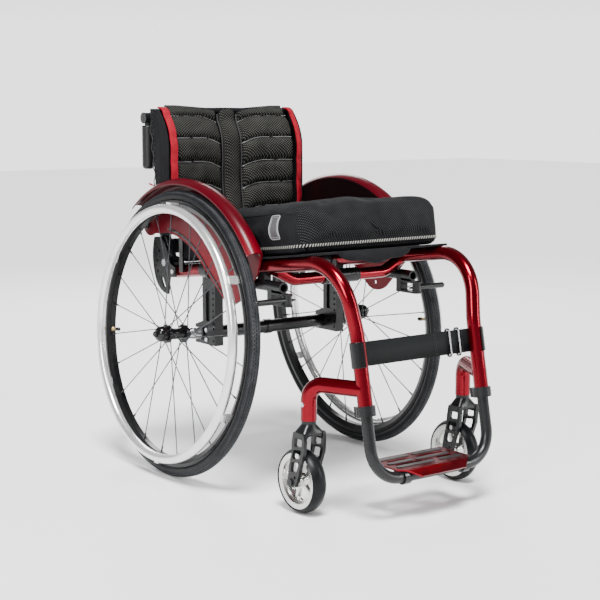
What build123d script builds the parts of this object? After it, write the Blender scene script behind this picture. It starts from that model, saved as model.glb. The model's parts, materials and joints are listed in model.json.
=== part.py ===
from build123d import *
import os
from math import atan2, copysign, cos, degrees, radians, sin, sqrt, tan

os.makedirs("parts", exist_ok=True)

# A rigid-frame manual wheelchair with a fold-down back.  Millimetres.  Z is up, +Y is the
# rear and +X is the user's left.  The origin is on the floor, under the middle of the
# whole chair.  Lengths measured from the rear axle are turned into Y by at().

# ---------------------------------------------------------------- driving dimensions
TYRE_RADIUS = 295.0          # 24 inch rear wheel with a 25 mm tyre
TYRE_SECTION = 12.5
FRONT_REACH = 567.0          # rear axle to the lip of the footplate
CAMBER = 4.0                 # degrees, wheels wider apart at the floor
HUB_X = 233.0
RIM_TOP, RIM_BED, RIM_HALF_WIDTH = 274.0, 257.0, 11.0
HANDRIM_RADIUS, HANDRIM_TUBE, HANDRIM_OFFSET = 256.0, 9.5, 31.0
HANDRIM_TABS = 6
SPOKE_COUNT, SPOKE_RADIUS = 24, 1.1
FLANGE_RADIUS, FLANGE_OFFSET, HUB_HALF = 16.5, 20.0, 30.0
AXLE_PIN_RADIUS, RUNNING_GAP = 6.35, 0.05

TUBE_RADIUS, TUBE_BORE = 14.0, 11.1
RAIL_X = 164.0               # side tube, half of the seat's width
LEG_X = 146.0
SEAT_SLOPE = 7.0             # degrees, higher at the front
RAIL_REAR_Y, RAIL_REAR_Z = 98.0, 409.7
KNEE_Y, KNEE_Z, KNEE_BEND = -457.0, 478.0, 94.0
LEG_TOP_Y, LEG_TOP_Z = -484.0, 349.0
LEG_END_Y, LEG_END_Z = -512.5, 203.0

CROSS_Y, CROSS_Z, CROSS_RADIUS = -250.0, 422.0, 12.0
CAMBER_TUBE_RADIUS, CAMBER_TUBE_BORE, CAMBER_TUBE_HALF = 13.75, 12.0, 171.0

CASTER_RADIUS, CASTER_WIDTH, CASTER_X = 62.0, 32.0, 196.0
CASTER_AXLE_Y, STEM_Y = -384.0, -406.0
HOUSING_RADIUS, HOUSING_BOTTOM, ARM_Z = 15.0, 181.0, 248.0
STEM_RADIUS, STEM_TOP = 6.0, 228.0

FOOT_TUBE_RADIUS, FOOT_TUBE_Z, FOOT_BEND = 11.0, 82.0, 60.0
PLATE_HALF_WIDTH, PLATE_REAR_Y, PLATE_FRONT_Y = 92.0, -452.0, -547.0
PLATE_TOP, PLATE_THICK = 97.0, 3.0

CUSHION_WIDTH, CUSHION_DEPTH, CUSHION_THICK = 364.0, 458.0, 97.0
CUSHION_FRONT_Y = -366.0
SLING_THICK, SOFT_GAP = 4.0, 0.3

BACK_PIVOT_Y, BACK_PIVOT_Z = 118.0, 428.0
CANE_X, CANE_RADIUS, CANE_TOP = 163.0, 11.0, 745.0
BACK_TOP = 758.0
HANDLE_X, HANDLE_Y, HANDLE_Z, GRIP_RADIUS, GRIP_BOTTOM = 170.0, 203.0, 734.0, 12.0, 624.0

GUARD_X, GUARD_THICK = 187.0, 3.0
FENDER_RADIUS, FENDER_WIDTH = 305.0, 34.0
LOCK_Y, LOCK_Z, LOCK_X = -297.0, 390.0, 165.0

AXLE_Y = (FRONT_REACH - TYRE_RADIUS) / 2
HUB_Z = (TYRE_RADIUS - TYRE_SECTION) * cos(radians(CAMBER)) + TYRE_SECTION
LEG_TILT = degrees(atan2(LEG_TOP_Y - LEG_END_Y, LEG_TOP_Z - LEG_END_Z))


def at(y):
    """Distance behind the rear axle, as Y in the chair's own frame."""
    return AXLE_Y + y


def rail_z(y):
    """Height of the side tube's centreline, y behind the rear axle."""
    return RAIL_REAR_Z + (RAIL_REAR_Y - y) * tan(radians(SEAT_SLOPE))


def cane_y(z):
    """Distance of the back cane's centreline behind the rear axle, at height z."""
    return 150.0 + (z - 492.0) * 30.0 / 253.0


def leg_y(z):
    """Distance of the leg's centreline behind the rear axle, at height z."""
    return LEG_END_Y + (z - LEG_END_Z) * tan(radians(LEG_TILT))


def save(piece, name):
    piece.part.label = name
    export_step(piece.part, f"parts/{name}.step")


def save_pair(piece, name):
    """Writes the user's left piece and its mirror image on the right."""
    save(piece, f"{name}_left")
    with BuildPart() as twin:
        mirror(piece.part, about=Plane.YZ)
    save(twin, f"{name}_right")


def sweep_circle(points, bends, radius, bore=0.0):
    """A round bar or tube along straight runs joined by tangent arcs."""
    with BuildPart() as bar:
        with BuildLine() as route:
            if bends:
                FilletPolyline(*points, radius=bends)
            else:
                Polyline(*points)
        with BuildSketch(Plane(origin=route.line @ 0, z_dir=route.line % 0)):
            Circle(radius)
            if bore:
                Circle(bore, mode=Mode.SUBTRACT)
        sweep()
    return bar


# ---------------------------------------------------------------- frames of reference
hub_centre = Vector(HUB_X, AXLE_Y, HUB_Z)
outboard = Vector(cos(radians(CAMBER)), 0, sin(radians(CAMBER)))
wheel_axis = Axis(hub_centre, outboard)
wheel_section = Plane(origin=hub_centre, x_dir=outboard, z_dir=(0, -1, 0))
wheel_disc = Plane(origin=hub_centre, x_dir=(0, 1, 0), z_dir=outboard)
seat_plane = Plane(
    origin=(0, at(RAIL_REAR_Y), RAIL_REAR_Z),
    x_dir=(1, 0, 0),
    z_dir=(0, sin(radians(SEAT_SLOPE)), cos(radians(SEAT_SLOPE))),
)


def on_seat(y):
    """Position along the seat plane of a point y behind the rear axle."""
    return (y - RAIL_REAR_Y) / cos(radians(SEAT_SLOPE))


def side_plane(x):
    """Vertical plane facing the user's left, its own axes along +Y and +Z."""
    return Plane(origin=(x, 0, 0), x_dir=(0, 1, 0), z_dir=(1, 0, 0))


# ---------------------------------------------------------------- side tubes and legs
rail_points = [
    (RAIL_X, at(RAIL_REAR_Y), RAIL_REAR_Z),
    (RAIL_X, at(KNEE_Y), KNEE_Z),
    (LEG_X, at(LEG_TOP_Y), LEG_TOP_Z),
    (LEG_X, at(LEG_END_Y), LEG_END_Z),
]
rail_bends = [KNEE_BEND, 150.0]
side_tube = sweep_circle(rail_points, rail_bends, TUBE_RADIUS, TUBE_BORE)
rail_solid = sweep_circle(rail_points, rail_bends, TUBE_RADIUS).part
rail_solid_right = mirror(rail_solid, about=Plane.YZ)
save_pair(side_tube, "side_tube")

# Collars that grip the footrest tube at the end of each leg, with a pinch lug behind.
COLLAR_RADIUS, COLLAR_HEIGHT = 18.0, 19.0
leg_direction = Vector(0, sin(radians(LEG_TILT)), cos(radians(LEG_TILT)))


def leg_plane(x, along):
    """Plane square to the leg, `along` mm up from its lower end."""
    origin = Vector(x, at(LEG_END_Y), LEG_END_Z) + leg_direction * along
    return Plane(origin=origin, x_dir=(1, 0, 0), z_dir=leg_direction)


with BuildPart() as leg_clamps:
    for x in (-LEG_X, LEG_X):
        with BuildSketch(leg_plane(x, -3)):
            Circle(COLLAR_RADIUS)
            with Locations((0, COLLAR_RADIUS + 2)):
                Rectangle(12, 14)
            Circle(FOOT_TUBE_RADIUS + 0.1, mode=Mode.SUBTRACT)
        extrude(amount=COLLAR_HEIGHT)
        with BuildSketch(leg_plane(x, 0)):
            Circle(TUBE_RADIUS)
        extrude(amount=COLLAR_HEIGHT, mode=Mode.SUBTRACT)
        with BuildSketch(leg_plane(x, -3)):
            with Locations((0, COLLAR_RADIUS + 4)):
                Rectangle(2, 20)
        extrude(amount=COLLAR_HEIGHT, mode=Mode.SUBTRACT)
save(leg_clamps, "leg_clamps")

# ---------------------------------------------------------------- seat cross tube
SLEEVE_HALF, SLEEVE_WALL = 44.0, 2.5
cross_points = [
    (-RAIL_X, at(CROSS_Y), rail_z(CROSS_Y) - 6),
    (-116, at(CROSS_Y), CROSS_Z),
    (116, at(CROSS_Y), CROSS_Z),
    (RAIL_X, at(CROSS_Y), rail_z(CROSS_Y) - 6),
]
cross_bar = sweep_circle(cross_points, [45, 45], CROSS_RADIUS, CROSS_RADIUS - 2)
with BuildPart() as seat_cross_tube:
    add(cross_bar.part)
    add(rail_solid, mode=Mode.SUBTRACT)
    add(rail_solid_right, mode=Mode.SUBTRACT)
save(seat_cross_tube, "seat_cross_tube")

with BuildPart() as cross_tube_sleeve:
    with BuildSketch(Plane.YZ.offset(-SLEEVE_HALF)):
        with Locations((at(CROSS_Y), CROSS_Z)):
            Circle(CROSS_RADIUS + SLEEVE_WALL)
            Circle(CROSS_RADIUS, mode=Mode.SUBTRACT)
    extrude(amount=2 * SLEEVE_HALF)
save(cross_tube_sleeve, "cross_tube_sleeve")

# ---------------------------------------------------------------- caster arms
arm_points = [
    (LEG_X, at(leg_y(ARM_Z)), ARM_Z),
    (CASTER_X, at(STEM_Y), ARM_Z + 2),
    (CASTER_X, at(STEM_Y), HOUSING_BOTTOM),
]
arm_bar = sweep_circle(arm_points, 30, HOUSING_RADIUS, HOUSING_RADIUS - 3)
with BuildPart() as caster_arm:
    add(arm_bar.part)
    with BuildSketch(Plane.XY.offset(HOUSING_BOTTOM)):
        with Locations((CASTER_X, at(STEM_Y))):
            Circle(HOUSING_RADIUS - 2.5)
            Circle(STEM_RADIUS + RUNNING_GAP, mode=Mode.SUBTRACT)
    extrude(amount=36)
    add(rail_solid, mode=Mode.SUBTRACT)
save_pair(caster_arm, "caster_arm")

# ---------------------------------------------------------------- camber tube and axle plates
axis_slope = tan(radians(CAMBER))
CAMBER_TUBE_Z = HUB_Z - (HUB_X - 142.0) * axis_slope
with BuildPart() as camber_tube:
    with BuildSketch(Plane.YZ.offset(-CAMBER_TUBE_HALF)):
        with Locations((AXLE_Y, CAMBER_TUBE_Z)):
            Circle(CAMBER_TUBE_RADIUS)
            Circle(CAMBER_TUBE_BORE, mode=Mode.SUBTRACT)
    extrude(amount=2 * CAMBER_TUBE_HALF)
    # the round fitting in the middle of the tube
    with BuildSketch(Plane.YZ.offset(-7)):
        with Locations((AXLE_Y, CAMBER_TUBE_Z)):
            Circle(CAMBER_TUBE_RADIUS + 2)
            Circle(CAMBER_TUBE_BORE, mode=Mode.SUBTRACT)
    extrude(amount=14)
save(camber_tube, "camber_tube")

PLATE_X, PLATE_WIDE = 149.0, 20.0
PLATE_FRONT, PLATE_BACK, PLATE_BOTTOM = -53.0, -6.0, 268.0
PLATE_HOLES, PLATE_HOLE_PITCH = 9, 12.5
with BuildPart() as axle_plate:
    with BuildSketch(side_plane(PLATE_X)):
        with BuildLine():
            Polyline(
                (at(PLATE_FRONT), PLATE_BOTTOM),
                (at(24), PLATE_BOTTOM),
                (at(24), PLATE_BOTTOM + 38),
                (at(PLATE_BACK), PLATE_BOTTOM + 48),
                (at(PLATE_BACK), rail_z(PLATE_BACK)),
                (at(PLATE_FRONT), rail_z(PLATE_FRONT)),
                close=True,
            )
        make_face()
    extrude(amount=PLATE_WIDE)
    # the clamp that wraps the side tube
    with BuildSketch(Plane.XZ.offset(-at(-10))):
        with Locations((RAIL_X, rail_z(-22))):
            Circle(TUBE_RADIUS + 4)
    extrude(amount=26)
    fillet(axle_plate.edges().filter_by(Axis.Z).sort_by(Axis.Y)[-2:], 3)
    # lightening grooves down both faces
    for face_x in (PLATE_X, PLATE_X + PLATE_WIDE - 4):
        with BuildSketch(side_plane(face_x)):
            with Locations((at(-27), 350)):
                Rectangle(16, 66)
        extrude(amount=4, mode=Mode.SUBTRACT)
    # the row of position holes along the front edge
    with BuildSketch(side_plane(PLATE_X)):
        for hole in range(PLATE_HOLES):
            with Locations((at(-46), PLATE_BOTTOM + 10 + hole * PLATE_HOLE_PITCH)):
                Circle(2.6)
    extrude(amount=PLATE_WIDE, mode=Mode.SUBTRACT)
    with BuildSketch(side_plane(PLATE_X)):
        with Locations((AXLE_Y, CAMBER_TUBE_Z)):
            Circle(CAMBER_TUBE_RADIUS)
    extrude(amount=PLATE_WIDE, mode=Mode.SUBTRACT)
    add(rail_solid, mode=Mode.SUBTRACT)
    # flat on top, where the seat sling passes over
    with BuildSketch(seat_plane.offset(TUBE_RADIUS - 0.5)):
        with Locations((RAIL_X, on_seat(-30))):
            Rectangle(60, 160)
    extrude(amount=20, mode=Mode.SUBTRACT)
save_pair(axle_plate, "axle_plate")

# Receivers that hold the axle pins at the camber angle, one in each end of the tube.
RECEIVER_OUT, RECEIVER_FACE, RECEIVER_IN = -31.5, -60.0, -122.0
with BuildPart() as receiver:
    with BuildSketch(wheel_section):
        with BuildLine():
            Polyline(
                (RECEIVER_IN, AXLE_PIN_RADIUS + RUNNING_GAP),
                (RECEIVER_OUT, AXLE_PIN_RADIUS + RUNNING_GAP),
                (RECEIVER_OUT, 9.5),
                (RECEIVER_OUT - 8, 12.5),
                (RECEIVER_FACE, 12.5),
                (RECEIVER_FACE, 8.6),
                (RECEIVER_IN, 8.6),
                close=True,
            )
        make_face()
    revolve(axis=wheel_axis)
with BuildPart() as axle_receivers:
    add(receiver.part)
    mirror(receiver.part, about=Plane.YZ)
save(axle_receivers, "axle_receivers")

# ---------------------------------------------------------------- seat
SLING_FRONT, SLING_REAR = -372.0, 90.0
sling_low = TUBE_RADIUS + SOFT_GAP
with BuildPart() as seat_sling:
    with BuildSketch(seat_plane.offset(sling_low)):
        with Locations((0, on_seat((SLING_FRONT + SLING_REAR) / 2))):
            RectangleRounded(356, on_seat(SLING_REAR) - on_seat(SLING_FRONT), 10)
    extrude(amount=SLING_THICK)
save(seat_sling, "seat_sling")

cushion_low = sling_low + SLING_THICK + SOFT_GAP
with BuildPart() as seat_cushion:
    with BuildSketch(seat_plane.offset(cushion_low)):
        with Locations((0, on_seat(CUSHION_FRONT_Y + CUSHION_DEPTH / 2))):
            RectangleRounded(CUSHION_WIDTH, CUSHION_DEPTH, 26)
    extrude(amount=CUSHION_THICK)
    fillet(seat_cushion.faces().sort_by(Axis.Z)[-1].edges(), 20)
    fillet(seat_cushion.faces().sort_by(Axis.Z)[0].edges(), 9)
save(seat_cushion, "seat_cushion")

# ---------------------------------------------------------------- back hinge plates
HINGE_X, HINGE_THICK = 179.0, 4.0
with BuildPart() as back_hinge:
    with BuildSketch(side_plane(HINGE_X)):
        with BuildLine():
            tail = (at(107), 361)
            knee = (at(101), 398)
            front = (at(78), 420)
            Line(tail, knee)
            Line(knee, (at(78), 400))
            Line((at(78), 400), front)
            Line(front, (at(98), 428))
            ThreePointArc((at(98), 428), (at(112), 458), (at(133), 483))
            Line((at(133), 483), (at(161), 480))
            ThreePointArc((at(161), 480), (at(168), 428), (at(155), 386))
            ThreePointArc((at(155), 386), (at(135), 368), tail)
        make_face()
        with Locations((at(BACK_PIVOT_Y), BACK_PIVOT_Z)):
            Circle(5.05, mode=Mode.SUBTRACT)
        # angle adjustment slot and lightening hole
        with Locations((at(126), 385)):
            SlotOverall(26, 9, rotation=60, mode=Mode.SUBTRACT)
        for y, z in ((141, 452), (150, 430), (148, 408)):
            with Locations((at(y), z)):
                Circle(3.2, mode=Mode.SUBTRACT)
    extrude(amount=HINGE_THICK)
save_pair(back_hinge, "back_hinge")

# ---------------------------------------------------------------- side guards with fenders
# Outline and flange are drawn round the rear axle: angles from straight back, over the top.
FENDER_START, FENDER_END = 53.5, 144.0


def round_axle(radius, angle):
    return (at(radius * cos(radians(angle))), HUB_Z + radius * sin(radians(angle)))


guard_axis = Axis((0, AXLE_Y, HUB_Z), (1, 0, 0))
guard_top = FENDER_RADIUS + 3.0
with BuildPart() as side_guard:
    with BuildSketch(side_plane(GUARD_X)):
        with BuildLine():
            rear_top = round_axle(guard_top, FENDER_START)
            front_top = round_axle(guard_top, FENDER_END)
            ThreePointArc(rear_top, round_axle(guard_top, 98), front_top)
            Line(front_top, (at(-233), 434))
            Line((at(-233), 434), (at(-176), 379))
            ThreePointArc((at(-176), 379), (at(-148), 368), (at(-119), 373))
            Line((at(-119), 373), (at(-50), 428))
            ThreePointArc((at(-50), 428), (at(20), 476), (at(96), 494))
            Line((at(96), 494), (at(150), 488))
            ThreePointArc((at(150), 488), (at(186), 490), (at(196), 512))
            Line((at(196), 512), rear_top)
        make_face()
        with Locations((at(-140), 384)):
            Circle(4, mode=Mode.SUBTRACT)
    extrude(amount=GUARD_THICK)
    # the fender flange that covers the inner half of the tyre, swept round the axle
    with BuildSketch(Plane(origin=(0, AXLE_Y, HUB_Z), x_dir=(1, 0, 0), z_dir=(0, -1, 0))):
        with BuildLine():
            flange_in = GUARD_X + GUARD_THICK
            flange_out = flange_in + FENDER_WIDTH
            Line((GUARD_X, FENDER_RADIUS - 6), (GUARD_X, FENDER_RADIUS + 3))
            ThreePointArc(
                (GUARD_X, FENDER_RADIUS + 3),
                (GUARD_X + 12, FENDER_RADIUS + 12),
                (flange_out, FENDER_RADIUS + 3),
            )
            Line((flange_out, FENDER_RADIUS + 3), (flange_out, FENDER_RADIUS))
            ThreePointArc(
                (flange_out, FENDER_RADIUS),
                (GUARD_X + 14, FENDER_RADIUS + 8.5),
                (flange_in, FENDER_RADIUS - 6),
            )
            Line((flange_in, FENDER_RADIUS - 6), (GUARD_X, FENDER_RADIUS - 6))
        make_face()
    # straight up is 90 degrees, so the sweep is turned back to the rear end first
    flange_sketch = side_guard.pending_faces[0]
    side_guard.pending_faces.clear()
    side_guard.pending_face_planes.clear()
    flange = flange_sketch.rotate(guard_axis, FENDER_START - 90)
    revolve(flange, axis=guard_axis, revolution_arc=FENDER_END - FENDER_START)
save_pair(side_guard, "side_guard")

# Black trim of the guards: a knob at the rear, an inlaid bead and two posts to the side tube.
KNOB_Y, KNOB_Z = 178.0, 507.0
GUARD_POSTS = (-80.0, 48.0)
with BuildPart() as trim:
    with BuildSketch(side_plane(GUARD_X + GUARD_THICK)):
        with Locations((at(KNOB_Y), KNOB_Z)):
            Circle(10)
    extrude(amount=5)
    fillet(trim.faces().sort_by(Axis.X)[-1].edges(), 2.5)
    with BuildSketch(side_plane(GUARD_X + GUARD_THICK)):
        with BuildLine():
            Line((at(-112), 384), (at(-54), 432))
            ThreePointArc((at(-54), 432), (at(18), 482), (at(94), 500))
            Line((at(94), 500), (at(92), 504))
            ThreePointArc((at(92), 504), (at(15), 486), (at(-57), 435.5))
            Line((at(-57), 435.5), (at(-115), 387.5))
            Line((at(-115), 387.5), (at(-112), 384))
        make_face()
    extrude(amount=1.2)
    for y in GUARD_POSTS:
        with BuildSketch(side_plane(RAIL_X + TUBE_RADIUS)):
            with Locations((at(y), rail_z(y) + 3)):
                Rectangle(14, 10)
        extrude(amount=GUARD_X - RAIL_X - TUBE_RADIUS)
        with BuildSketch(side_plane(GUARD_X - 4)):
            with Locations((at(y), rail_z(y) + 40)):
                Rectangle(14, 84)
        extrude(amount=4)
with BuildPart() as guard_trim:
    add(trim.part)
    mirror(trim.part, about=Plane.YZ)
save(guard_trim, "guard_trim")

# ---------------------------------------------------------------- wheel locks
LOCK_TUBE_RADIUS, LOCK_TUBE_Z = 11.0, 413.0
LOCK_PIN_RADIUS, LOCK_HUB_RADIUS, LOCK_ROD_RADIUS = 4.0, 8.5, 6.0
LOCK_PLATE = 4.0
HUB_HALF_HEIGHT = 8.0
with BuildPart() as lock_mount:
    with BuildSketch(Plane.XZ.offset(-at(-200))):
        with Locations((LOCK_X, LOCK_TUBE_Z)):
            Circle(LOCK_TUBE_RADIUS)
    extrude(amount=86)
    # clamp post up to the side tube
    with BuildSketch(Plane.XY.offset(LOCK_TUBE_Z)):
        with Locations((LOCK_X, at(-222))):
            Rectangle(16, 24)
    extrude(amount=rail_z(-222) - LOCK_TUBE_Z)
    # pivot cheeks below the front end, with the web between them
    cheek_top = LOCK_Z + HUB_HALF_HEIGHT + SOFT_GAP
    cheek_bottom = LOCK_Z - HUB_HALF_HEIGHT - SOFT_GAP - LOCK_PLATE
    for z in (cheek_bottom, cheek_top):
        with BuildSketch(Plane.XY.offset(z)):
            with Locations((LOCK_X, at(-276))):
                RectangleRounded(20, 62, 8)
        extrude(amount=LOCK_PLATE)
    with BuildSketch(Plane.XY.offset(cheek_bottom)):
        with Locations((LOCK_X, at(-252))):
            Rectangle(20, 14)
    extrude(amount=LOCK_TUBE_Z - cheek_bottom)
    with BuildSketch(Plane.XY.offset(cheek_bottom)):
        with Locations((LOCK_X, at(LOCK_Y))):
            Circle(LOCK_PIN_RADIUS)
    extrude(amount=cheek_top - cheek_bottom + LOCK_PLATE)
    # open end of the mounting tube
    with BuildSketch(Plane.XZ.offset(-at(-270))):
        with Locations((LOCK_X, LOCK_TUBE_Z)):
            Circle(LOCK_TUBE_RADIUS - 3.5)
    extrude(amount=16, mode=Mode.SUBTRACT)
    add(rail_solid, mode=Mode.SUBTRACT)
save_pair(lock_mount, "wheel_lock_mount")

LOCK_REACH = 76.0
with BuildPart() as lock_lever:
    with BuildSketch(Plane.XY.offset(LOCK_Z - HUB_HALF_HEIGHT)):
        with Locations((LOCK_X, at(LOCK_Y))):
            Circle(LOCK_HUB_RADIUS)
    extrude(amount=2 * HUB_HALF_HEIGHT)
    with BuildSketch(side_plane(LOCK_X)):
        with Locations((at(LOCK_Y), LOCK_Z)):
            Circle(LOCK_ROD_RADIUS)
    extrude(amount=LOCK_REACH)
    fillet(lock_lever.faces().sort_by(Axis.X)[-1].edges(), LOCK_ROD_RADIUS - 0.5)
    # short pointed heel on the inboard side
    with BuildSketch(side_plane(LOCK_X)):
        with Locations((at(LOCK_Y), LOCK_Z)):
            Circle(4.5)
    extrude(amount=-20, taper=8)
    with BuildSketch(Plane.XY.offset(LOCK_Z - HUB_HALF_HEIGHT)):
        with Locations((LOCK_X, at(LOCK_Y))):
            Circle(LOCK_PIN_RADIUS + RUNNING_GAP)
    extrude(amount=2 * HUB_HALF_HEIGHT, mode=Mode.SUBTRACT)
save_pair(lock_lever, "lock_lever")

# ---------------------------------------------------------------- calf strap
STRAP_Z, STRAP_WIDE, STRAP_THICK, STRAP_LOOP, CLIP_OPENING = 310.0, 47.0, 2.5, 2.6, 24.0
strap_along = (STRAP_Z - LEG_END_Z) / cos(radians(LEG_TILT)) - STRAP_WIDE / 2
with BuildPart() as calf_strap:
    for x in (-LEG_X, LEG_X):
        with BuildSketch(leg_plane(x, strap_along)):
            Circle(TUBE_RADIUS + SOFT_GAP + STRAP_LOOP)
            Circle(TUBE_RADIUS + SOFT_GAP, mode=Mode.SUBTRACT)
            # each clip is open towards the front and the inside
            with Locations((-copysign(CLIP_OPENING / 2, x), -CLIP_OPENING / 2 + 4)):
                Rectangle(CLIP_OPENING, CLIP_OPENING, mode=Mode.SUBTRACT)
        extrude(amount=STRAP_WIDE)
    with BuildSketch(leg_plane(0, strap_along)):
        with Locations((0, TUBE_RADIUS + SOFT_GAP + STRAP_THICK / 2)):
            Rectangle(2 * LEG_X, STRAP_THICK)
    extrude(amount=STRAP_WIDE)
    for x in (-LEG_X, LEG_X):
        with BuildSketch(leg_plane(x, strap_along)):
            Circle(TUBE_RADIUS + SOFT_GAP)
        extrude(amount=STRAP_WIDE, mode=Mode.SUBTRACT)
save(calf_strap, "calf_strap")

# Two wire rings, near the left leg, that the strap doubles back through.
BUCKLE_WIRE = 1.8
with BuildPart() as strap_buckles:
    for x in (88, 112):
        ring_plane = leg_plane(x, strap_along + STRAP_WIDE / 2)
        with BuildSketch(Plane(
            origin=ring_plane.origin - ring_plane.x_dir * BUCKLE_WIRE,
            x_dir=ring_plane.y_dir, z_dir=ring_plane.x_dir,
        )):
            with Locations((TUBE_RADIUS + SOFT_GAP + STRAP_THICK / 2, 0)):
                RectangleRounded(STRAP_THICK + 10, STRAP_WIDE + 9, 6)
                RectangleRounded(STRAP_THICK + 4, STRAP_WIDE + 3, 3, mode=Mode.SUBTRACT)
        extrude(amount=2 * BUCKLE_WIRE)
save(strap_buckles, "strap_buckles")

# ---------------------------------------------------------------- fasteners of the frame
with BuildPart() as screws:
    # hinge pivot bolts: head outside the plate, shank through the cane's knuckle
    with BuildSketch(side_plane(HINGE_X + HINGE_THICK)):
        with Locations((at(BACK_PIVOT_Y), BACK_PIVOT_Z)):
            RegularPolygon(8, 6)
    extrude(amount=4)
    with BuildSketch(side_plane(CANE_X - CANE_RADIUS - 3)):
        with Locations((at(BACK_PIVOT_Y), BACK_PIVOT_Z)):
            Circle(5)
    extrude(amount=HINGE_X + HINGE_THICK - CANE_X + CANE_RADIUS + 3)
    # screws that fix the hinge plate to the side tube
    with BuildSketch(side_plane(HINGE_X + HINGE_THICK)):
        with Locations((at(87), rail_z(87))):
            Circle(5)
    extrude(amount=2.5)
    # screw heads on the caster housing and the axle plate
    with BuildSketch(side_plane(CASTER_X + HOUSING_RADIUS - 0.6)):
        with Locations((at(STEM_Y), 212)):
            Circle(4.5)
    extrude(amount=2)
    with BuildSketch(side_plane(PLATE_X + PLATE_WIDE)):
        for y, z in ((-22, 278), (-22, 298)):
            with Locations((at(y), z)):
                Circle(4.5)
    extrude(amount=3)
    add(caster_arm.part, mode=Mode.SUBTRACT)
with BuildPart() as frame_screws:
    add(screws.part)
    mirror(screws.part, about=Plane.YZ)
save(frame_screws, "frame_screws")

# ---------------------------------------------------------------- back canes
cane_points = [
    (CANE_X, at(BACK_PIVOT_Y), BACK_PIVOT_Z),
    (CANE_X, at(cane_y(492)), 492),
    (CANE_X, at(cane_y(CANE_TOP)), CANE_TOP),
]
cane_bar = sweep_circle(cane_points, 60, CANE_RADIUS, CANE_RADIUS - 2)
KNUCKLE_RADIUS = 12.5
LUG_X, RELEASE_Y, RELEASE_Z, RELEASE_RADIUS, RELEASE_TRAVEL = 144.0, 127.0, 458.0, 4.0, 8.0
handle_pivot = (at(HANDLE_Y), HANDLE_Z)
with BuildPart() as back_cane:
    add(cane_bar.part)
    with BuildSketch(side_plane(CANE_X - CANE_RADIUS)):
        with Locations((at(BACK_PIVOT_Y), BACK_PIVOT_Z)):
            Circle(KNUCKLE_RADIUS)
    extrude(amount=2 * CANE_RADIUS + 4)
    # guide lug for the release bar
    with BuildSketch(side_plane(LUG_X)):
        with Locations((at(RELEASE_Y + 3), RELEASE_Z + RELEASE_TRAVEL / 2)):
            RectangleRounded(22, 32, 4)
    extrude(amount=CANE_X - LUG_X)
    with BuildSketch(side_plane(LUG_X)):
        with Locations((at(RELEASE_Y), RELEASE_Z + RELEASE_TRAVEL / 2)):
            SlotOverall(
                2 * RELEASE_RADIUS + RELEASE_TRAVEL + 1, 2 * RELEASE_RADIUS + 0.2, rotation=90
            )
    extrude(amount=5, mode=Mode.SUBTRACT)
    # bracket of the folding push handle: cap, cheek and pin
    with BuildSketch(Plane.XY.offset(CANE_TOP - 26)):
        with Locations((CANE_X, at(cane_y(CANE_TOP - 13)))):
            Circle(CANE_RADIUS + 0.7)
    extrude(amount=28)
    with BuildSketch(side_plane(CANE_X - CANE_RADIUS - 4)):
        with BuildLine():
            Polyline(
                (at(cane_y(CANE_TOP)), CANE_TOP + 2),
                (at(HANDLE_Y - 2), CANE_TOP + 2),
                (at(HANDLE_Y + 11), HANDLE_Z + 4),
                (at(HANDLE_Y + 9), HANDLE_Z - 10),
                (at(cane_y(CANE_TOP)), CANE_TOP - 36),
                close=True,
            )
        make_face()
    extrude(amount=5)
    with BuildSketch(side_plane(CANE_X - CANE_RADIUS - 4)):
        with Locations(handle_pivot):
            Circle(3)
    extrude(amount=34)
    with BuildSketch(side_plane(CANE_X - CANE_RADIUS)):
        with Locations((at(BACK_PIVOT_Y), BACK_PIVOT_Z)):
            Circle(5 + RUNNING_GAP)
    extrude(amount=40, both=True, mode=Mode.SUBTRACT)
    # swept room for the handle's knuckle
    with BuildSketch(side_plane(CANE_X - CANE_RADIUS + 1.3)):
        with Locations(handle_pivot):
            Circle(GRIP_RADIUS + 0.5)
            Circle(3, mode=Mode.SUBTRACT)
    extrude(amount=40, mode=Mode.SUBTRACT)
save_pair(back_cane, "back_cane")

# ---------------------------------------------------------------- rigidizer and release bar
RIGIDIZER_Z, RIGIDIZER_RADIUS = 522.0, 8.0
with BuildPart() as back_rigidizer:
    half = CANE_X - CANE_RADIUS
    with BuildSketch(Plane.YZ.offset(-half)):
        with Locations((at(cane_y(RIGIDIZER_Z)), RIGIDIZER_Z)):
            Circle(RIGIDIZER_RADIUS)
            Circle(RIGIDIZER_RADIUS - 2, mode=Mode.SUBTRACT)
    extrude(amount=2 * half)
save(back_rigidizer, "back_rigidizer")

with BuildPart() as back_release_bar:
    half = LUG_X + 4.5
    with BuildSketch(Plane.YZ.offset(-half)):
        with Locations((at(RELEASE_Y), RELEASE_Z)):
            Circle(RELEASE_RADIUS)
    extrude(amount=2 * half)
    with BuildSketch(Plane.YZ.offset(-30)):
        with Locations((at(RELEASE_Y), RELEASE_Z)):
            Circle(RELEASE_RADIUS + 2)
    extrude(amount=60)
save(back_release_bar, "back_release_bar")

# ---------------------------------------------------------------- back upholstery and pads
UPHOLSTERY_LOW, UPHOLSTERY_HIGH = 486.0, 752.0
GUSSET_OUT, GUSSET_THICK, PANEL_THICK = 178.0, 3.2, 5.0
STRIP_HALF = 24.0


def pad_front(z):
    """Front of the pads' outer edge, as distance behind the rear axle."""
    roll = max(0.0, z - 670.0)
    return 105.0 + roll * roll / 176.0


def panel_front(z):
    """Front of the back panel, which stands further off the canes at its lower edge."""
    slack = 2.8 + 6.2 * (UPHOLSTERY_HIGH - z) / (UPHOLSTERY_HIGH - UPHOLSTERY_LOW)
    return cane_y(z) - CANE_RADIUS - slack - PANEL_THICK


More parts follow.
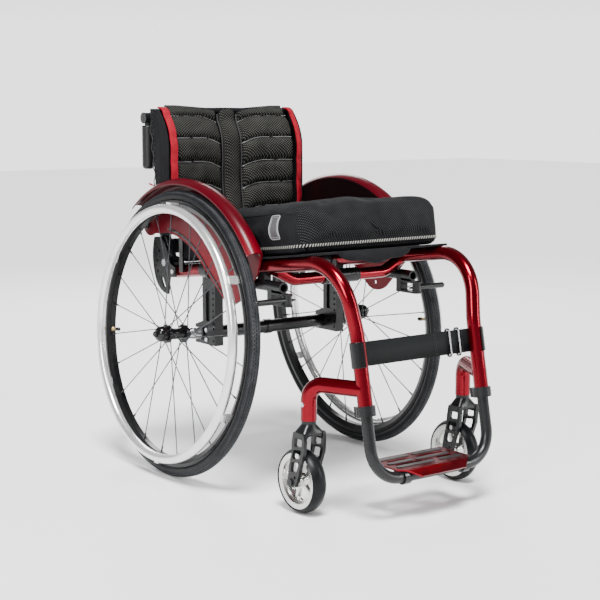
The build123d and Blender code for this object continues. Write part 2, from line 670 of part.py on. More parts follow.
with BuildPart() as back_upholstery:
    for z in (UPHOLSTERY_LOW, UPHOLSTERY_HIGH):
        front = at(panel_front(z))
        gusset_front = at(pad_front(z)) + 4
        gusset_back = at(cane_y(z)) + CANE_RADIUS
        with BuildSketch(Plane.XY.offset(z)):
            with BuildLine():
                Polyline(
                    (GUSSET_OUT, gusset_front),
                    (GUSSET_OUT, gusset_back),
                    (GUSSET_OUT - GUSSET_THICK, gusset_back),
                    (GUSSET_OUT - GUSSET_THICK, front + PANEL_THICK),
                    (-GUSSET_OUT + GUSSET_THICK, front + PANEL_THICK),
                    (-GUSSET_OUT + GUSSET_THICK, gusset_back),
                    (-GUSSET_OUT, gusset_back),
                    (-GUSSET_OUT, gusset_front),
                    (-GUSSET_OUT + GUSSET_THICK, gusset_front),
                    (-GUSSET_OUT + GUSSET_THICK, front),
                    (GUSSET_OUT - GUSSET_THICK, front),
                    (GUSSET_OUT - GUSSET_THICK, gusset_front),
                    close=True,
                )
            make_face()
    loft(ruled=True)
save(back_upholstery, "back_upholstery")

PAD_INNER, PAD_OUTER = 24.0, 172.0
PAD_HOLLOW = 22.0
with BuildPart() as back_pad:
    for z in (500.0, 600.0, 670.0, 715.0, BACK_TOP):
        rear = panel_front(z) - SOFT_GAP
        front_outer = min(pad_front(z), rear - 14)
        front_inner = min(pad_front(z) + PAD_HOLLOW, rear - 12)
        with BuildSketch(Plane.XY.offset(z)):
            with BuildLine():
                Polyline(
                    (PAD_INNER, at(front_inner)),
                    (PAD_OUTER, at(front_outer)),
                    (PAD_OUTER, at(rear)),
                    (PAD_INNER, at(rear)),
                    close=True,
                )
            make_face()
    loft(ruled=True)
save_pair(back_pad, "back_pad")

# ---------------------------------------------------------------- push handles
with BuildPart() as push_handle:
    with BuildSketch(side_plane(CANE_X - CANE_RADIUS + 1.6)):
        with Locations(handle_pivot):
            Circle(GRIP_RADIUS)
            Circle(3 + RUNNING_GAP, mode=Mode.SUBTRACT)
    extrude(amount=28)
    with BuildSketch(Plane.XY.offset(GRIP_BOTTOM + 10)):
        with Locations((HANDLE_X, handle_pivot[0])):
            Circle(7)
    extrude(until=Until.NEXT)
save_pair(push_handle, "push_handle")

with BuildPart() as push_grip:
    with BuildSketch(Plane.XY.offset(GRIP_BOTTOM)):
        with Locations((HANDLE_X, handle_pivot[0])):
            Circle(GRIP_RADIUS + 1)
    extrude(amount=HANDLE_Z - GRIP_RADIUS - 4 - GRIP_BOTTOM)
    fillet(push_grip.faces().sort_by(Axis.Z)[0].edges(), 8)
    fillet(push_grip.faces().sort_by(Axis.Z)[-1].edges(), 3)
    with BuildSketch(Plane.XY.offset(GRIP_BOTTOM + 10)):
        with Locations((HANDLE_X, handle_pivot[0])):
            Circle(7)
    extrude(amount=120, mode=Mode.SUBTRACT)
save_pair(push_grip, "push_grip")

# ---------------------------------------------------------------- footrest
foot_y = leg_y(FOOT_TUBE_Z)
insert = Vector(LEG_X, at(LEG_END_Y), LEG_END_Z) + leg_direction * 72
foot_points = [
    tuple(insert),
    (LEG_X, at(foot_y), FOOT_TUBE_Z),
    (-LEG_X, at(foot_y), FOOT_TUBE_Z),
    (-insert.X, insert.Y, insert.Z),
]
footrest_tube = sweep_circle(foot_points, [FOOT_BEND, FOOT_BEND], FOOT_TUBE_RADIUS)
save(footrest_tube, "footrest_tube")

CLAMP_X, CLAMP_WIDE = 74.0, 16.0
plate_low = PLATE_TOP - PLATE_THICK
with BuildPart() as footplate_clamps:
    for x in (-CLAMP_X, CLAMP_X):
        with BuildSketch(side_plane(x - CLAMP_WIDE / 2)):
            with Locations((at(foot_y), FOOT_TUBE_Z)):
                Circle(FOOT_TUBE_RADIUS + 3.5)
            with Locations((at(foot_y) + 8, plate_low - 6)):
                Rectangle(26, 12)
            with Locations((at(foot_y), FOOT_TUBE_Z)):
                Circle(FOOT_TUBE_RADIUS + 0.1, mode=Mode.SUBTRACT)
            with Locations((at(foot_y), plate_low + 20)):
                Rectangle(80, 40, mode=Mode.SUBTRACT)
        extrude(amount=CLAMP_WIDE)
save(footplate_clamps, "footplate_clamps")

LIP_DROP, LIP_TOP_HALF, LIP_LOW_HALF = 13.0, 76.0, 52.0
lip_front = at(-FRONT_REACH)
with BuildPart() as footplate:
    with BuildSketch(Plane.YZ.offset(-PLATE_HALF_WIDTH)):
        with BuildLine():
            Polyline(
                (at(PLATE_REAR_Y), PLATE_TOP),
                (at(PLATE_REAR_Y), plate_low),
                (at(PLATE_FRONT_Y) + 1.5, plate_low),
                (lip_front + 2, PLATE_TOP - LIP_DROP),
                (lip_front, PLATE_TOP - LIP_DROP + 2),
                (at(PLATE_FRONT_Y), PLATE_TOP),
                close=True,
            )
        make_face()
    extrude(amount=2 * PLATE_HALF_WIDTH)
    # the plate's front corners are cut off, and the lip narrows towards its edge
    for side in (-1, 1):
        with BuildSketch(Plane.XY.offset(plate_low - LIP_DROP)):
            with BuildLine():
                Polyline(
                    (side * (PLATE_HALF_WIDTH + 1), at(PLATE_FRONT_Y) + 14),
                    (side * LIP_TOP_HALF, at(PLATE_FRONT_Y)),
                    (side * LIP_LOW_HALF, lip_front - 1),
                    (side * (PLATE_HALF_WIDTH + 1), lip_front - 1),
                    close=True,
                )
            make_face()
        extrude(amount=2 * LIP_DROP + PLATE_THICK, mode=Mode.SUBTRACT)
    # slots through the plate
    with BuildSketch(Plane.XY.offset(plate_low)):
        for x, y, length in ((-45, -483, 52), (36, -483, 70), (-38, -510, 70), (48, -510, 44)):
            with Locations((x, at(y))):
                SlotOverall(length, 8)
    extrude(amount=PLATE_THICK, mode=Mode.SUBTRACT)
save(footplate, "footplate")

with BuildPart() as footplate_grips:
    with BuildSketch(Plane.XY.offset(PLATE_TOP)):
        for x, y, length in (
            (-42, -466, 76), (44, -466, 76),
            (-50, -496.5, 60), (30, -496.5, 84),
            (-36, -524, 90), (52, -524, 54),
        ):
            with Locations((x, at(y))):
                SlotOverall(length, 12)
    extrude(amount=1.2)
save(footplate_grips, "footplate_grips")

# ---------------------------------------------------------------- casters
FORK_INSIDE, FORK_ARM = 19.0, 7.0
CROWN_LOW, CROWN_WIDE, CROWN_HIGH = 146.0, 158.0, 175.0
CASTER_BORE = 4.0
fork_wide = 2 * (FORK_INSIDE + FORK_ARM)

# Side view of a fork arm, y behind the rear axle and height, and its three windows.
ARM_OUTLINE = (
    (-424, 160), (-426, 146), (-424, 122), (-415, 100), (-405, 68), (-397, 54),
    (-382, 51), (-374, 59), (-376, 74), (-379, 92), (-386, 116), (-388, 140), (-392, 160),
)
ARM_WINDOWS = (
    ((-419, 149), (-398, 149), (-395, 132), (-418, 135)),
    ((-417, 129), (-393, 126), (-388, 108), (-412, 109)),
    ((-409, 103), (-387, 102), (-384, 82), (-402, 84)),
)
with BuildPart() as caster_fork:
    # crown: spreads from the bearing cap to the two arms
    with BuildSketch(Plane.XY.offset(CROWN_HIGH)):
        with Locations((CASTER_X, at(STEM_Y))):
            Circle(13)
    with BuildSketch(Plane.XY.offset(CROWN_WIDE)):
        with Locations((CASTER_X, at(STEM_Y))):
            RectangleRounded(fork_wide, 34, 9)
    loft()
    with BuildSketch(Plane.XY.offset(CROWN_LOW)):
        with Locations((CASTER_X, at(STEM_Y))):
            RectangleRounded(fork_wide, 34, 9)
    extrude(amount=CROWN_WIDE - CROWN_LOW)
    # arch between the arms, over the tyre
    with BuildSketch(Plane.XZ.offset(-at(STEM_Y))):
        with Locations((CASTER_X, CROWN_LOW - 10)):
            RectangleRounded(2 * FORK_INSIDE, 36, 10)
    extrude(amount=30, both=True, mode=Mode.SUBTRACT)
    # bearing cap and stem
    with BuildSketch(Plane.XY.offset(CROWN_HIGH)):
        with Locations((CASTER_X, at(STEM_Y))):
            Circle(14)
    extrude(amount=HOUSING_BOTTOM - CROWN_HIGH - SOFT_GAP)
    with BuildSketch(Plane.XY.offset(CROWN_HIGH)):
        with Locations((CASTER_X, at(STEM_Y))):
            Circle(STEM_RADIUS)
    extrude(amount=STEM_TOP - CROWN_HIGH - 14)
    # arms with windows, cut through the crown's sides as well
    for x in (CASTER_X - FORK_INSIDE - FORK_ARM, CASTER_X + FORK_INSIDE):
        with BuildSketch(side_plane(x)):
            with BuildLine():
                Polyline(*[(at(y), z) for y, z in ARM_OUTLINE], close=True)
            make_face()
            fillet(vertices(), 3)
        extrude(amount=FORK_ARM)
        with BuildSketch(side_plane(x)):
            for window in ARM_WINDOWS:
                with BuildLine():
                    Polyline(*[(at(y), z) for y, z in window], close=True)
                make_face()
            fillet(vertices(), 3)
            with Locations((at(-397), 73)):
                Circle(3)
        extrude(amount=FORK_ARM, mode=Mode.SUBTRACT)
    # axle bolt with its heads
    with BuildSketch(side_plane(CASTER_X - FORK_INSIDE - FORK_ARM)):
        with Locations((at(CASTER_AXLE_Y), CASTER_RADIUS)):
            Circle(CASTER_BORE)
    extrude(amount=fork_wide)
    for x in (CASTER_X - FORK_INSIDE - FORK_ARM - 3, CASTER_X + FORK_INSIDE + FORK_ARM):
        with BuildSketch(side_plane(x)):
            with Locations((at(CASTER_AXLE_Y), CASTER_RADIUS)):
                Circle(7)
        extrude(amount=3)
save_pair(caster_fork, "caster_fork")

caster_centre = (CASTER_X, at(CASTER_AXLE_Y), CASTER_RADIUS)
caster_axis = Axis(caster_centre, (1, 0, 0))
caster_section = Plane(origin=caster_centre, x_dir=(1, 0, 0), z_dir=(0, -1, 0))
CASTER_RIM_RADIUS, CASTER_HUB_HALF = 53.0, 18.4
with BuildPart() as caster_rim:
    with BuildSketch(caster_section):
        with Locations((0, (CASTER_BORE + RUNNING_GAP + 12) / 2)):
            Rectangle(2 * CASTER_HUB_HALF, 12 - CASTER_BORE - RUNNING_GAP)
        with Locations((0, 28)):
            Rectangle(8, 36)
        with BuildLine():
            Polyline(
                (-13, 44), (13, 44), (14, CASTER_RIM_RADIUS), (-14, CASTER_RIM_RADIUS), close=True
            )
        make_face()
    revolve(axis=caster_axis)
    # windows between the five spokes
    with BuildSketch(side_plane(CASTER_X - 5)):
        with Locations((at(CASTER_AXLE_Y), CASTER_RADIUS)):
            Circle(41)
            Circle(15, mode=Mode.SUBTRACT)
            with PolarLocations(28, 5):
                Rectangle(32, 7, mode=Mode.SUBTRACT)
    extrude(amount=10, mode=Mode.SUBTRACT)
save_pair(caster_rim, "caster_rim")

with BuildPart() as caster_tyre:
    with BuildSketch(caster_section):
        with BuildLine():
            half = CASTER_WIDTH / 2
            Line((-14, CASTER_RIM_RADIUS), (14, CASTER_RIM_RADIUS))
            Line((14, CASTER_RIM_RADIUS), (half, CASTER_RIM_RADIUS + 2))
            ThreePointArc(
                (half, CASTER_RIM_RADIUS + 2), (0, CASTER_RADIUS), (-half, CASTER_RIM_RADIUS + 2)
            )
            Line((-half, CASTER_RIM_RADIUS + 2), (-14, CASTER_RIM_RADIUS))
        make_face()
    revolve(axis=caster_axis)
save_pair(caster_tyre, "caster_tyre")

# ---------------------------------------------------------------- rear wheels
tyre_middle = TYRE_RADIUS - TYRE_SECTION
seat_half = sqrt(TYRE_SECTION**2 - (tyre_middle - RIM_TOP) ** 2)
with BuildPart() as rear_tyre:
    with BuildSketch(wheel_section):
        with BuildLine():
            Line((-seat_half, RIM_TOP), (seat_half, RIM_TOP))
            ThreePointArc((seat_half, RIM_TOP), (0, TYRE_RADIUS), (-seat_half, RIM_TOP))
        make_face()
    revolve(axis=wheel_axis)
save_pair(rear_tyre, "rear_tyre")

with BuildPart() as rear_rim:
    with BuildSketch(wheel_section):
        with BuildLine():
            Polyline(
                (-RIM_HALF_WIDTH, RIM_TOP), (RIM_HALF_WIDTH, RIM_TOP),
                (RIM_HALF_WIDTH, RIM_TOP - 7), (6, RIM_BED), (-6, RIM_BED),
                (-RIM_HALF_WIDTH, RIM_TOP - 7), close=True,
            )
        make_face()
        with BuildLine():
            Polyline(
                (-RIM_HALF_WIDTH + 2, RIM_TOP - 3), (RIM_HALF_WIDTH - 2, RIM_TOP - 3),
                (RIM_HALF_WIDTH - 2, RIM_TOP - 7), (5, RIM_BED + 2), (-5, RIM_BED + 2),
                (-RIM_HALF_WIDTH + 2, RIM_TOP - 7), close=True,
            )
        make_face(mode=Mode.SUBTRACT)
    revolve(axis=wheel_axis)
save_pair(rear_rim, "rear_rim")

with BuildPart() as rear_hub:
    with BuildSketch(wheel_section):
        with BuildLine():
            bore = AXLE_PIN_RADIUS + RUNNING_GAP
            Polyline(
                (-HUB_HALF, bore), (HUB_HALF, bore), (HUB_HALF, 13), (FLANGE_OFFSET + 4, 14),
                (FLANGE_OFFSET + 3, FLANGE_RADIUS + 2.6), (FLANGE_OFFSET - 3, FLANGE_RADIUS + 2.6),
                (FLANGE_OFFSET - 5, 13), (4, 11), (-4, 11), (-FLANGE_OFFSET + 5, 13),
                (-FLANGE_OFFSET + 3, FLANGE_RADIUS + 2.6), (-FLANGE_OFFSET - 3, FLANGE_RADIUS + 2.6),
                (-FLANGE_OFFSET - 4, 14), (-HUB_HALF, 13), close=True,
            )
        make_face()
    revolve(axis=wheel_axis)
save_pair(rear_hub, "rear_hub")

LACING_TURN, HEAD_OFFSET = 42.0, 2.0
spoke_planes = []
for index in range(SPOKE_COUNT):
    flange = 1 if index % 2 else -1
    lead = 1 if (index // 2) % 2 else -1
    rim_angle = radians(index * 360 / SPOKE_COUNT + 7.5)
    hub_angle = rim_angle + lead * radians(LACING_TURN)
    start = wheel_disc.from_local_coords(Vector(
        FLANGE_RADIUS * cos(hub_angle), FLANGE_RADIUS * sin(hub_angle),
        flange * (FLANGE_OFFSET + lead * HEAD_OFFSET),
    ))
    end = wheel_disc.from_local_coords(Vector(
        (RIM_BED + 1) * cos(rim_angle), (RIM_BED + 1) * sin(rim_angle), flange * 1.5
    ))
    spoke_planes.append((Plane(origin=start, z_dir=end - start), (end - start).length))
NIPPLE_RADIUS, NIPPLE_LENGTH = 1.9, 13.0
with BuildPart() as rear_spokes:
    for plane, length in spoke_planes:
        with BuildSketch(plane):
            Circle(SPOKE_RADIUS)
        extrude(amount=length)
        with BuildSketch(plane.offset(length - NIPPLE_LENGTH)):
            Circle(NIPPLE_RADIUS)
        extrude(amount=NIPPLE_LENGTH)
save_pair(rear_spokes, "rear_spokes")

tab_planes = [
    Plane(
        origin=wheel_disc.from_local_coords(Vector(0, 0, 0)),
        x_dir=outboard,
        z_dir=wheel_disc.from_local_coords(Vector(cos(angle), sin(angle), 0)) - hub_centre,
    )
    for angle in (radians(30 + index * 360 / HANDRIM_TABS) for index in range(HANDRIM_TABS))
]
with BuildPart() as handrim:
    with BuildSketch(wheel_section):
        with Locations((HANDRIM_OFFSET, HANDRIM_RADIUS)):
            Circle(HANDRIM_TUBE)
            Circle(HANDRIM_TUBE - 2, mode=Mode.SUBTRACT)
    revolve(axis=wheel_axis)
    # tabs from the rim's side wall out to the hand rim
    for plane in tab_planes:
        with BuildSketch(plane.offset(RIM_TOP - 9)):
            with Locations(((RIM_HALF_WIDTH + HANDRIM_OFFSET) / 2, 0)):
                Rectangle(HANDRIM_OFFSET - RIM_HALF_WIDTH, 16)
        extrude(amount=4)
    with BuildSketch(wheel_section):
        with Locations((HANDRIM_OFFSET, HANDRIM_RADIUS)):
            Circle(HANDRIM_TUBE - 2)
    revolve(axis=wheel_axis, mode=Mode.SUBTRACT)
save_pair(handrim, "handrim")

PIN_INNER_END = RECEIVER_IN + 2
CAP_RADIUS, CAP_BASE, CAP_TOP = 17.0, HUB_HALF + 0.5, HUB_HALF + 15.0
BUTTON_RADIUS, BUTTON_TRAVEL, BUTTON_PROUD = 6.0, 5.0, 6.0
with BuildPart() as axle_pin:
    with BuildSketch(wheel_section):
        with BuildLine():
            Line((PIN_INNER_END, 0), (PIN_INNER_END, AXLE_PIN_RADIUS - 1))
            Line((PIN_INNER_END, AXLE_PIN_RADIUS - 1), (PIN_INNER_END + 2, AXLE_PIN_RADIUS))
            Line((PIN_INNER_END + 2, AXLE_PIN_RADIUS), (CAP_BASE, AXLE_PIN_RADIUS))
            Line((CAP_BASE, AXLE_PIN_RADIUS), (CAP_BASE, CAP_RADIUS - 1))
            ThreePointArc(
                (CAP_BASE, CAP_RADIUS - 1), (CAP_BASE + 9, CAP_RADIUS - 2.5), (CAP_TOP, 8)
            )
            Line((CAP_TOP, 8), (CAP_TOP, BUTTON_RADIUS + RUNNING_GAP))
            Line((CAP_TOP, BUTTON_RADIUS + RUNNING_GAP),
                 (CAP_TOP - 12, BUTTON_RADIUS + RUNNING_GAP))
            Line((CAP_TOP - 12, BUTTON_RADIUS + RUNNING_GAP), (CAP_TOP - 12, 0))
            Line((CAP_TOP - 12, 0), (PIN_INNER_END, 0))
        make_face()
    revolve(axis=wheel_axis)
save_pair(axle_pin, "axle_pin")

with BuildPart() as axle_button:
    with BuildSketch(wheel_disc.offset(CAP_TOP - 12 + BUTTON_TRAVEL + 0.5)):
        Circle(BUTTON_RADIUS)
    extrude(amount=12 - BUTTON_TRAVEL - 0.5 + BUTTON_PROUD)
    outer_face = axle_button.faces().sort_by(Axis(hub_centre, outboard))[-1]
    fillet(outer_face.edges(), 2.5)
save_pair(axle_button, "axle_button")
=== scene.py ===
import json
from math import asin, cos, exp, pi, radians, sin, sqrt

import bmesh
import bpy
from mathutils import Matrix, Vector, noise
from mathutils.bvhtree import BVHTree


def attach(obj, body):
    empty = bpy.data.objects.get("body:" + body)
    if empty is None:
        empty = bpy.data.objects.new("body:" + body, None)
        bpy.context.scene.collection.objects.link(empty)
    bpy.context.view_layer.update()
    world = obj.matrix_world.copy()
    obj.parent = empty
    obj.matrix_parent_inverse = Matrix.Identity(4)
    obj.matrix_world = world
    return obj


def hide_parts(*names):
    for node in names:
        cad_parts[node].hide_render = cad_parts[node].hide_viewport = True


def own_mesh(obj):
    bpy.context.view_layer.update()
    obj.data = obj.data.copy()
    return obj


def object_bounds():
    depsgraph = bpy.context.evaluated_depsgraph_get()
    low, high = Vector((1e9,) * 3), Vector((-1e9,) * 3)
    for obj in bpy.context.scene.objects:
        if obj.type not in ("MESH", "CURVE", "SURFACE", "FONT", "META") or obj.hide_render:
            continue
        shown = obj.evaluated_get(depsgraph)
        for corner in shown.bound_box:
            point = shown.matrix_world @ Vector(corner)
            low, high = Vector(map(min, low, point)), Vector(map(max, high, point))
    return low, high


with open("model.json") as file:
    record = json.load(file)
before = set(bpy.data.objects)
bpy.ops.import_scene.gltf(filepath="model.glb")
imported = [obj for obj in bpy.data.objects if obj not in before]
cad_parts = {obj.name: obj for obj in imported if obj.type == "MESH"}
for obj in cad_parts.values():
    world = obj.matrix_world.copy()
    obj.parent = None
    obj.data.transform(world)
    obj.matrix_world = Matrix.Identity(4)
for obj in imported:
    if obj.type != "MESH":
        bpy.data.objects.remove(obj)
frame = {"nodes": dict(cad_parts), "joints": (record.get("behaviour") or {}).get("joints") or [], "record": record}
cad_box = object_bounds()
nodes = frame["nodes"]
joints = {joint["name"]: joint for joint in frame["joints"]}

# A rigid-frame manual wheelchair.  Metres.  Z is up, +Y is the rear, +X the user's left.
SIDES = (("left", 1), ("right", -1))


# ---- camera
def link_new(name, data, place=(0, 0, 0), aim=None):
    """Puts a new object in the scene at a place, turned to look along aim."""
    thing = bpy.data.objects.new(name, data)
    thing.location = place
    if aim is not None:
        thing.rotation_euler = Vector(aim).to_track_quat("-Z", "Y").to_euler()
    bpy.context.scene.collection.objects.link(thing)
    return thing


def add_camera():
    """Seen from the user's front right, a little above the hand rims."""
    yaw, pitch = radians(-36.98), radians(-7.84)
    look = Vector((-sin(yaw) * cos(pitch), cos(yaw) * cos(pitch), sin(pitch)))
    data = bpy.data.cameras.new("camera")
    data.lens, data.sensor_width = 82.0, 36.0
    bpy.context.scene.camera = link_new("camera", data, Vector((-1.7006, -2.2411, 0.7471)), look)


add_camera()


# ---- material helpers
class Nodes:
    """A small builder for one node tree, around one kind of coordinates."""

    def __init__(self, tree, coords):
        self.tree = tree
        self.coords = self.node("ShaderNodeTexCoord").outputs[coords]

    def node(self, kind, inputs=None, **settings):
        """A new node, each of whose inputs gets a constant or a link."""
        made = self.tree.nodes.new(kind)
        for key, value in settings.items():
            setattr(made, key, value)
        for key, value in (inputs or {}).items():
            if isinstance(value, bpy.types.NodeSocket):
                self.link(value, made.inputs[key])
            else:
                made.inputs[key].default_value = value
        return made

    def link(self, source, target):
        self.tree.links.new(source, target)

    def axes(self):
        return self.node("ShaderNodeSeparateXYZ", {"Vector": self.coords}).outputs

    def noise(self, scale, detail=3.0):
        inputs = {"Scale": scale, "Detail": detail, "Vector": self.coords}
        return self.node("ShaderNodeTexNoise", inputs).outputs["Fac"]

    def ramp(self, value, stops):
        ramp = self.node("ShaderNodeValToRGB", {"Fac": value})
        elements = ramp.color_ramp.elements
        while len(elements) < len(stops):
            elements.new(0.5)
        for element, (place, color) in zip(elements, stops):
            element.position, element.color = place, (*color, 1.0)
        return ramp.outputs["Color"]

    def math(self, operation, *values):
        return self.node("ShaderNodeMath", dict(enumerate(values)), operation=operation).outputs[0]

    def spread(self, value, low, high, top=1.0):
        """Maps a value from 0 to top onto low to high."""
        inputs = {"Value": value, "From Max": top, "To Min": low, "To Max": high}
        return self.node("ShaderNodeMapRange", inputs).outputs["Result"]


class Shader(Nodes):
    """One material."""

    def __init__(self, name, color, roughness, metallic=0.0, **sockets):
        self.material = bpy.data.materials.new(name)
        self.material.use_nodes = True
        super().__init__(self.material.node_tree, "Object")
        self.bsdf = self.tree.nodes["Principled BSDF"]
        self.set("Base Color", (*color, 1.0))
        self.set("Roughness", roughness)
        self.set("Metallic", metallic)
        for socket, value in sockets.items():
            self.set(socket.replace("_", " "), value)

    def set(self, socket, value):
        self.bsdf.inputs[socket].default_value = value

    def color(self, value, dark, light, low=0.3, high=0.7):
        self.link(self.ramp(value, ((low, dark), (high, light))), self.bsdf.inputs["Base Color"])

    def roughness(self, value, low, high):
        self.link(self.spread(value, low, high), self.bsdf.inputs["Roughness"])

    def bump(self, height, depth, strength):
        inputs = {"Height": height, "Distance": depth, "Strength": strength}
        bump = self.node("ShaderNodeBump", inputs)
        self.link(bump.outputs["Normal"], self.bsdf.inputs["Normal"])


def scaled(color, factor):
    return tuple(channel * factor for channel in color)


def weave(shader, pitch):
    """Raised dots in staggered rows, alike on level, upright and sloping faces."""
    axes = shader.axes()
    up = shader.math("ADD", axes["Y"], axes["Z"])
    turn = 2 * pi / pitch
    across = shader.math("SINE", shader.math("MULTIPLY", axes["X"], turn))
    along = shader.math("SINE", shader.math("MULTIPLY", up, turn))
    return shader.math("MULTIPLY", across, along)


def clouded(name, color, finish, cloud, tones, rough=None, knit=None, grain=None, **sockets):
    """Tones that drift in soft clouds; finish is roughness and metallic, knit or grain the bump."""
    shader = Shader(name, color, *finish, **sockets)
    fac = shader.noise(*cloud)
    shader.color(fac, *tones)
    if rough:
        shader.roughness(fac, *rough)
    if knit:
        pitch, depth, strength = knit
        shader.bump(weave(shader, pitch), depth, strength)
    if grain:
        scale, depth, strength = grain
        shader.bump(shader.noise(scale, 2.0), depth, strength)
    return shader.material


def worn_metal(name, color, roughness, metallic, grain=900.0, **sockets):
    """Metal or hard plastic with fine grain, faint smears and a soft unevenness."""
    tones = scaled(color, 0.82), scaled(color, 1.15)
    return clouded(name, color, (roughness, metallic), (14.0, 5.0), tones,
                   (roughness * 0.8, roughness * 1.25), grain=(grain, 0.00004, 0.35), **sockets)


# ---- materials
# the guard's inner face, inside this x and above this height, is painted nearly black as painted shade
GUARD_SHADE_X, GUARD_SHADE_LOW = 0.1878, 0.47


def make_candy_red():
    shader = Shader(
        "candy_red", (0.17, 0.0006, 0.007), 0.20, 0.88, Coat_Weight=0.12, Coat_Roughness=0.02,
    )
    flake = shader.noise(2600.0, 1.0)
    shader.color(flake, (0.13, 0.0004, 0.005), (0.22, 0.0009, 0.010), 0.35, 0.65)
    shader.bump(shader.noise(260.0, 2.0), 0.00006, 0.12)
    return shader.material


def make_guard_red():
    """Gloss moulding in red, painted brighter low down as a painted highlight and darker wine red along the fender
    as painted shade.
    """
    shader = Shader("guard_red", (0.10, 0.001, 0.004), 0.28, Specular_IOR_Level=0.15,
                    Coat_Weight=0.05, Coat_Roughness=0.02)
    axes = shader.axes()
    # painted light by height: the bright red low down is a painted highlight, the wine red higher up painted shade
    rise = shader.math("ADD", axes["Z"], shader.math("MULTIPLY", shader.noise(9.0, 3.0), 0.03))
    tone = shader.ramp(rise, ((0.46, (0.15, 0.0005, 0.007)), (0.56, (0.055, 0.0006, 0.004))))
    # beside the cushion, the inner face is painted nearly black as painted shade
    unshaded = shader.math("GREATER_THAN", shader.math("ABSOLUTE", axes["X"]), GUARD_SHADE_X)
    below = shader.math("LESS_THAN", axes["Z"], GUARD_SHADE_LOW)
    unshaded = shader.math("MAXIMUM", unshaded, below)
    # A is the painted shade colour, B the guard's red
    inputs = {"Factor": unshaded, "A": (0.006, 0.002, 0.0025, 1.0), "B": tone}
    mix = shader.node("ShaderNodeMix", inputs, data_type="RGBA")
    shader.link(mix.outputs["Result"], shader.bsdf.inputs["Base Color"])
    shader.bump(shader.noise(180.0, 2.0), 0.0001, 0.12)
    return shader.material


def make_mesh_fabric(name, pitch, dark, light):
    """Knitted spacer mesh: small raised diamonds, grey on top and dark between."""
    shader = Shader(name, scaled(light, 0.4), 0.9, Specular_IOR_Level=0.12)
    knit = weave(shader, pitch)
    broad = shader.noise(30.0, 4.0)
    tone = shader.math("ADD", shader.math("MULTIPLY", knit, 0.45), shader.spread(broad, 0.35, 0.65))
    shader.color(tone, dark, light, 0.42, 0.95)
    shader.bump(knit, 0.0009, 0.9)
    return shader.material


def make_webbing():
    """Ribbed polyester webbing, its ribs running up the strap."""
    shader = Shader("webbing", (0.006, 0.007, 0.007), 0.55, Specular_IOR_Level=0.1)
    inputs = {"Scale": 130.0, "Distortion": 0.6, "Vector": shader.coords}
    wave = shader.node("ShaderNodeTexWave", inputs, bands_direction="DIAGONAL")
    shader.color(wave.outputs["Fac"], (0.0020, 0.0024, 0.0028), (0.013, 0.015, 0.015), 0.2, 0.9)
    shader.bump(wave.outputs["Fac"], 0.0003, 0.7)
    return shader.material


def make_tyre(name, dark, light):
    return clouded(name, dark, (0.34,), (40.0, 4.0), (dark, light), (0.26, 0.42),
                   grain=(700.0, 0.00008, 0.5), Specular_IOR_Level=0.12)


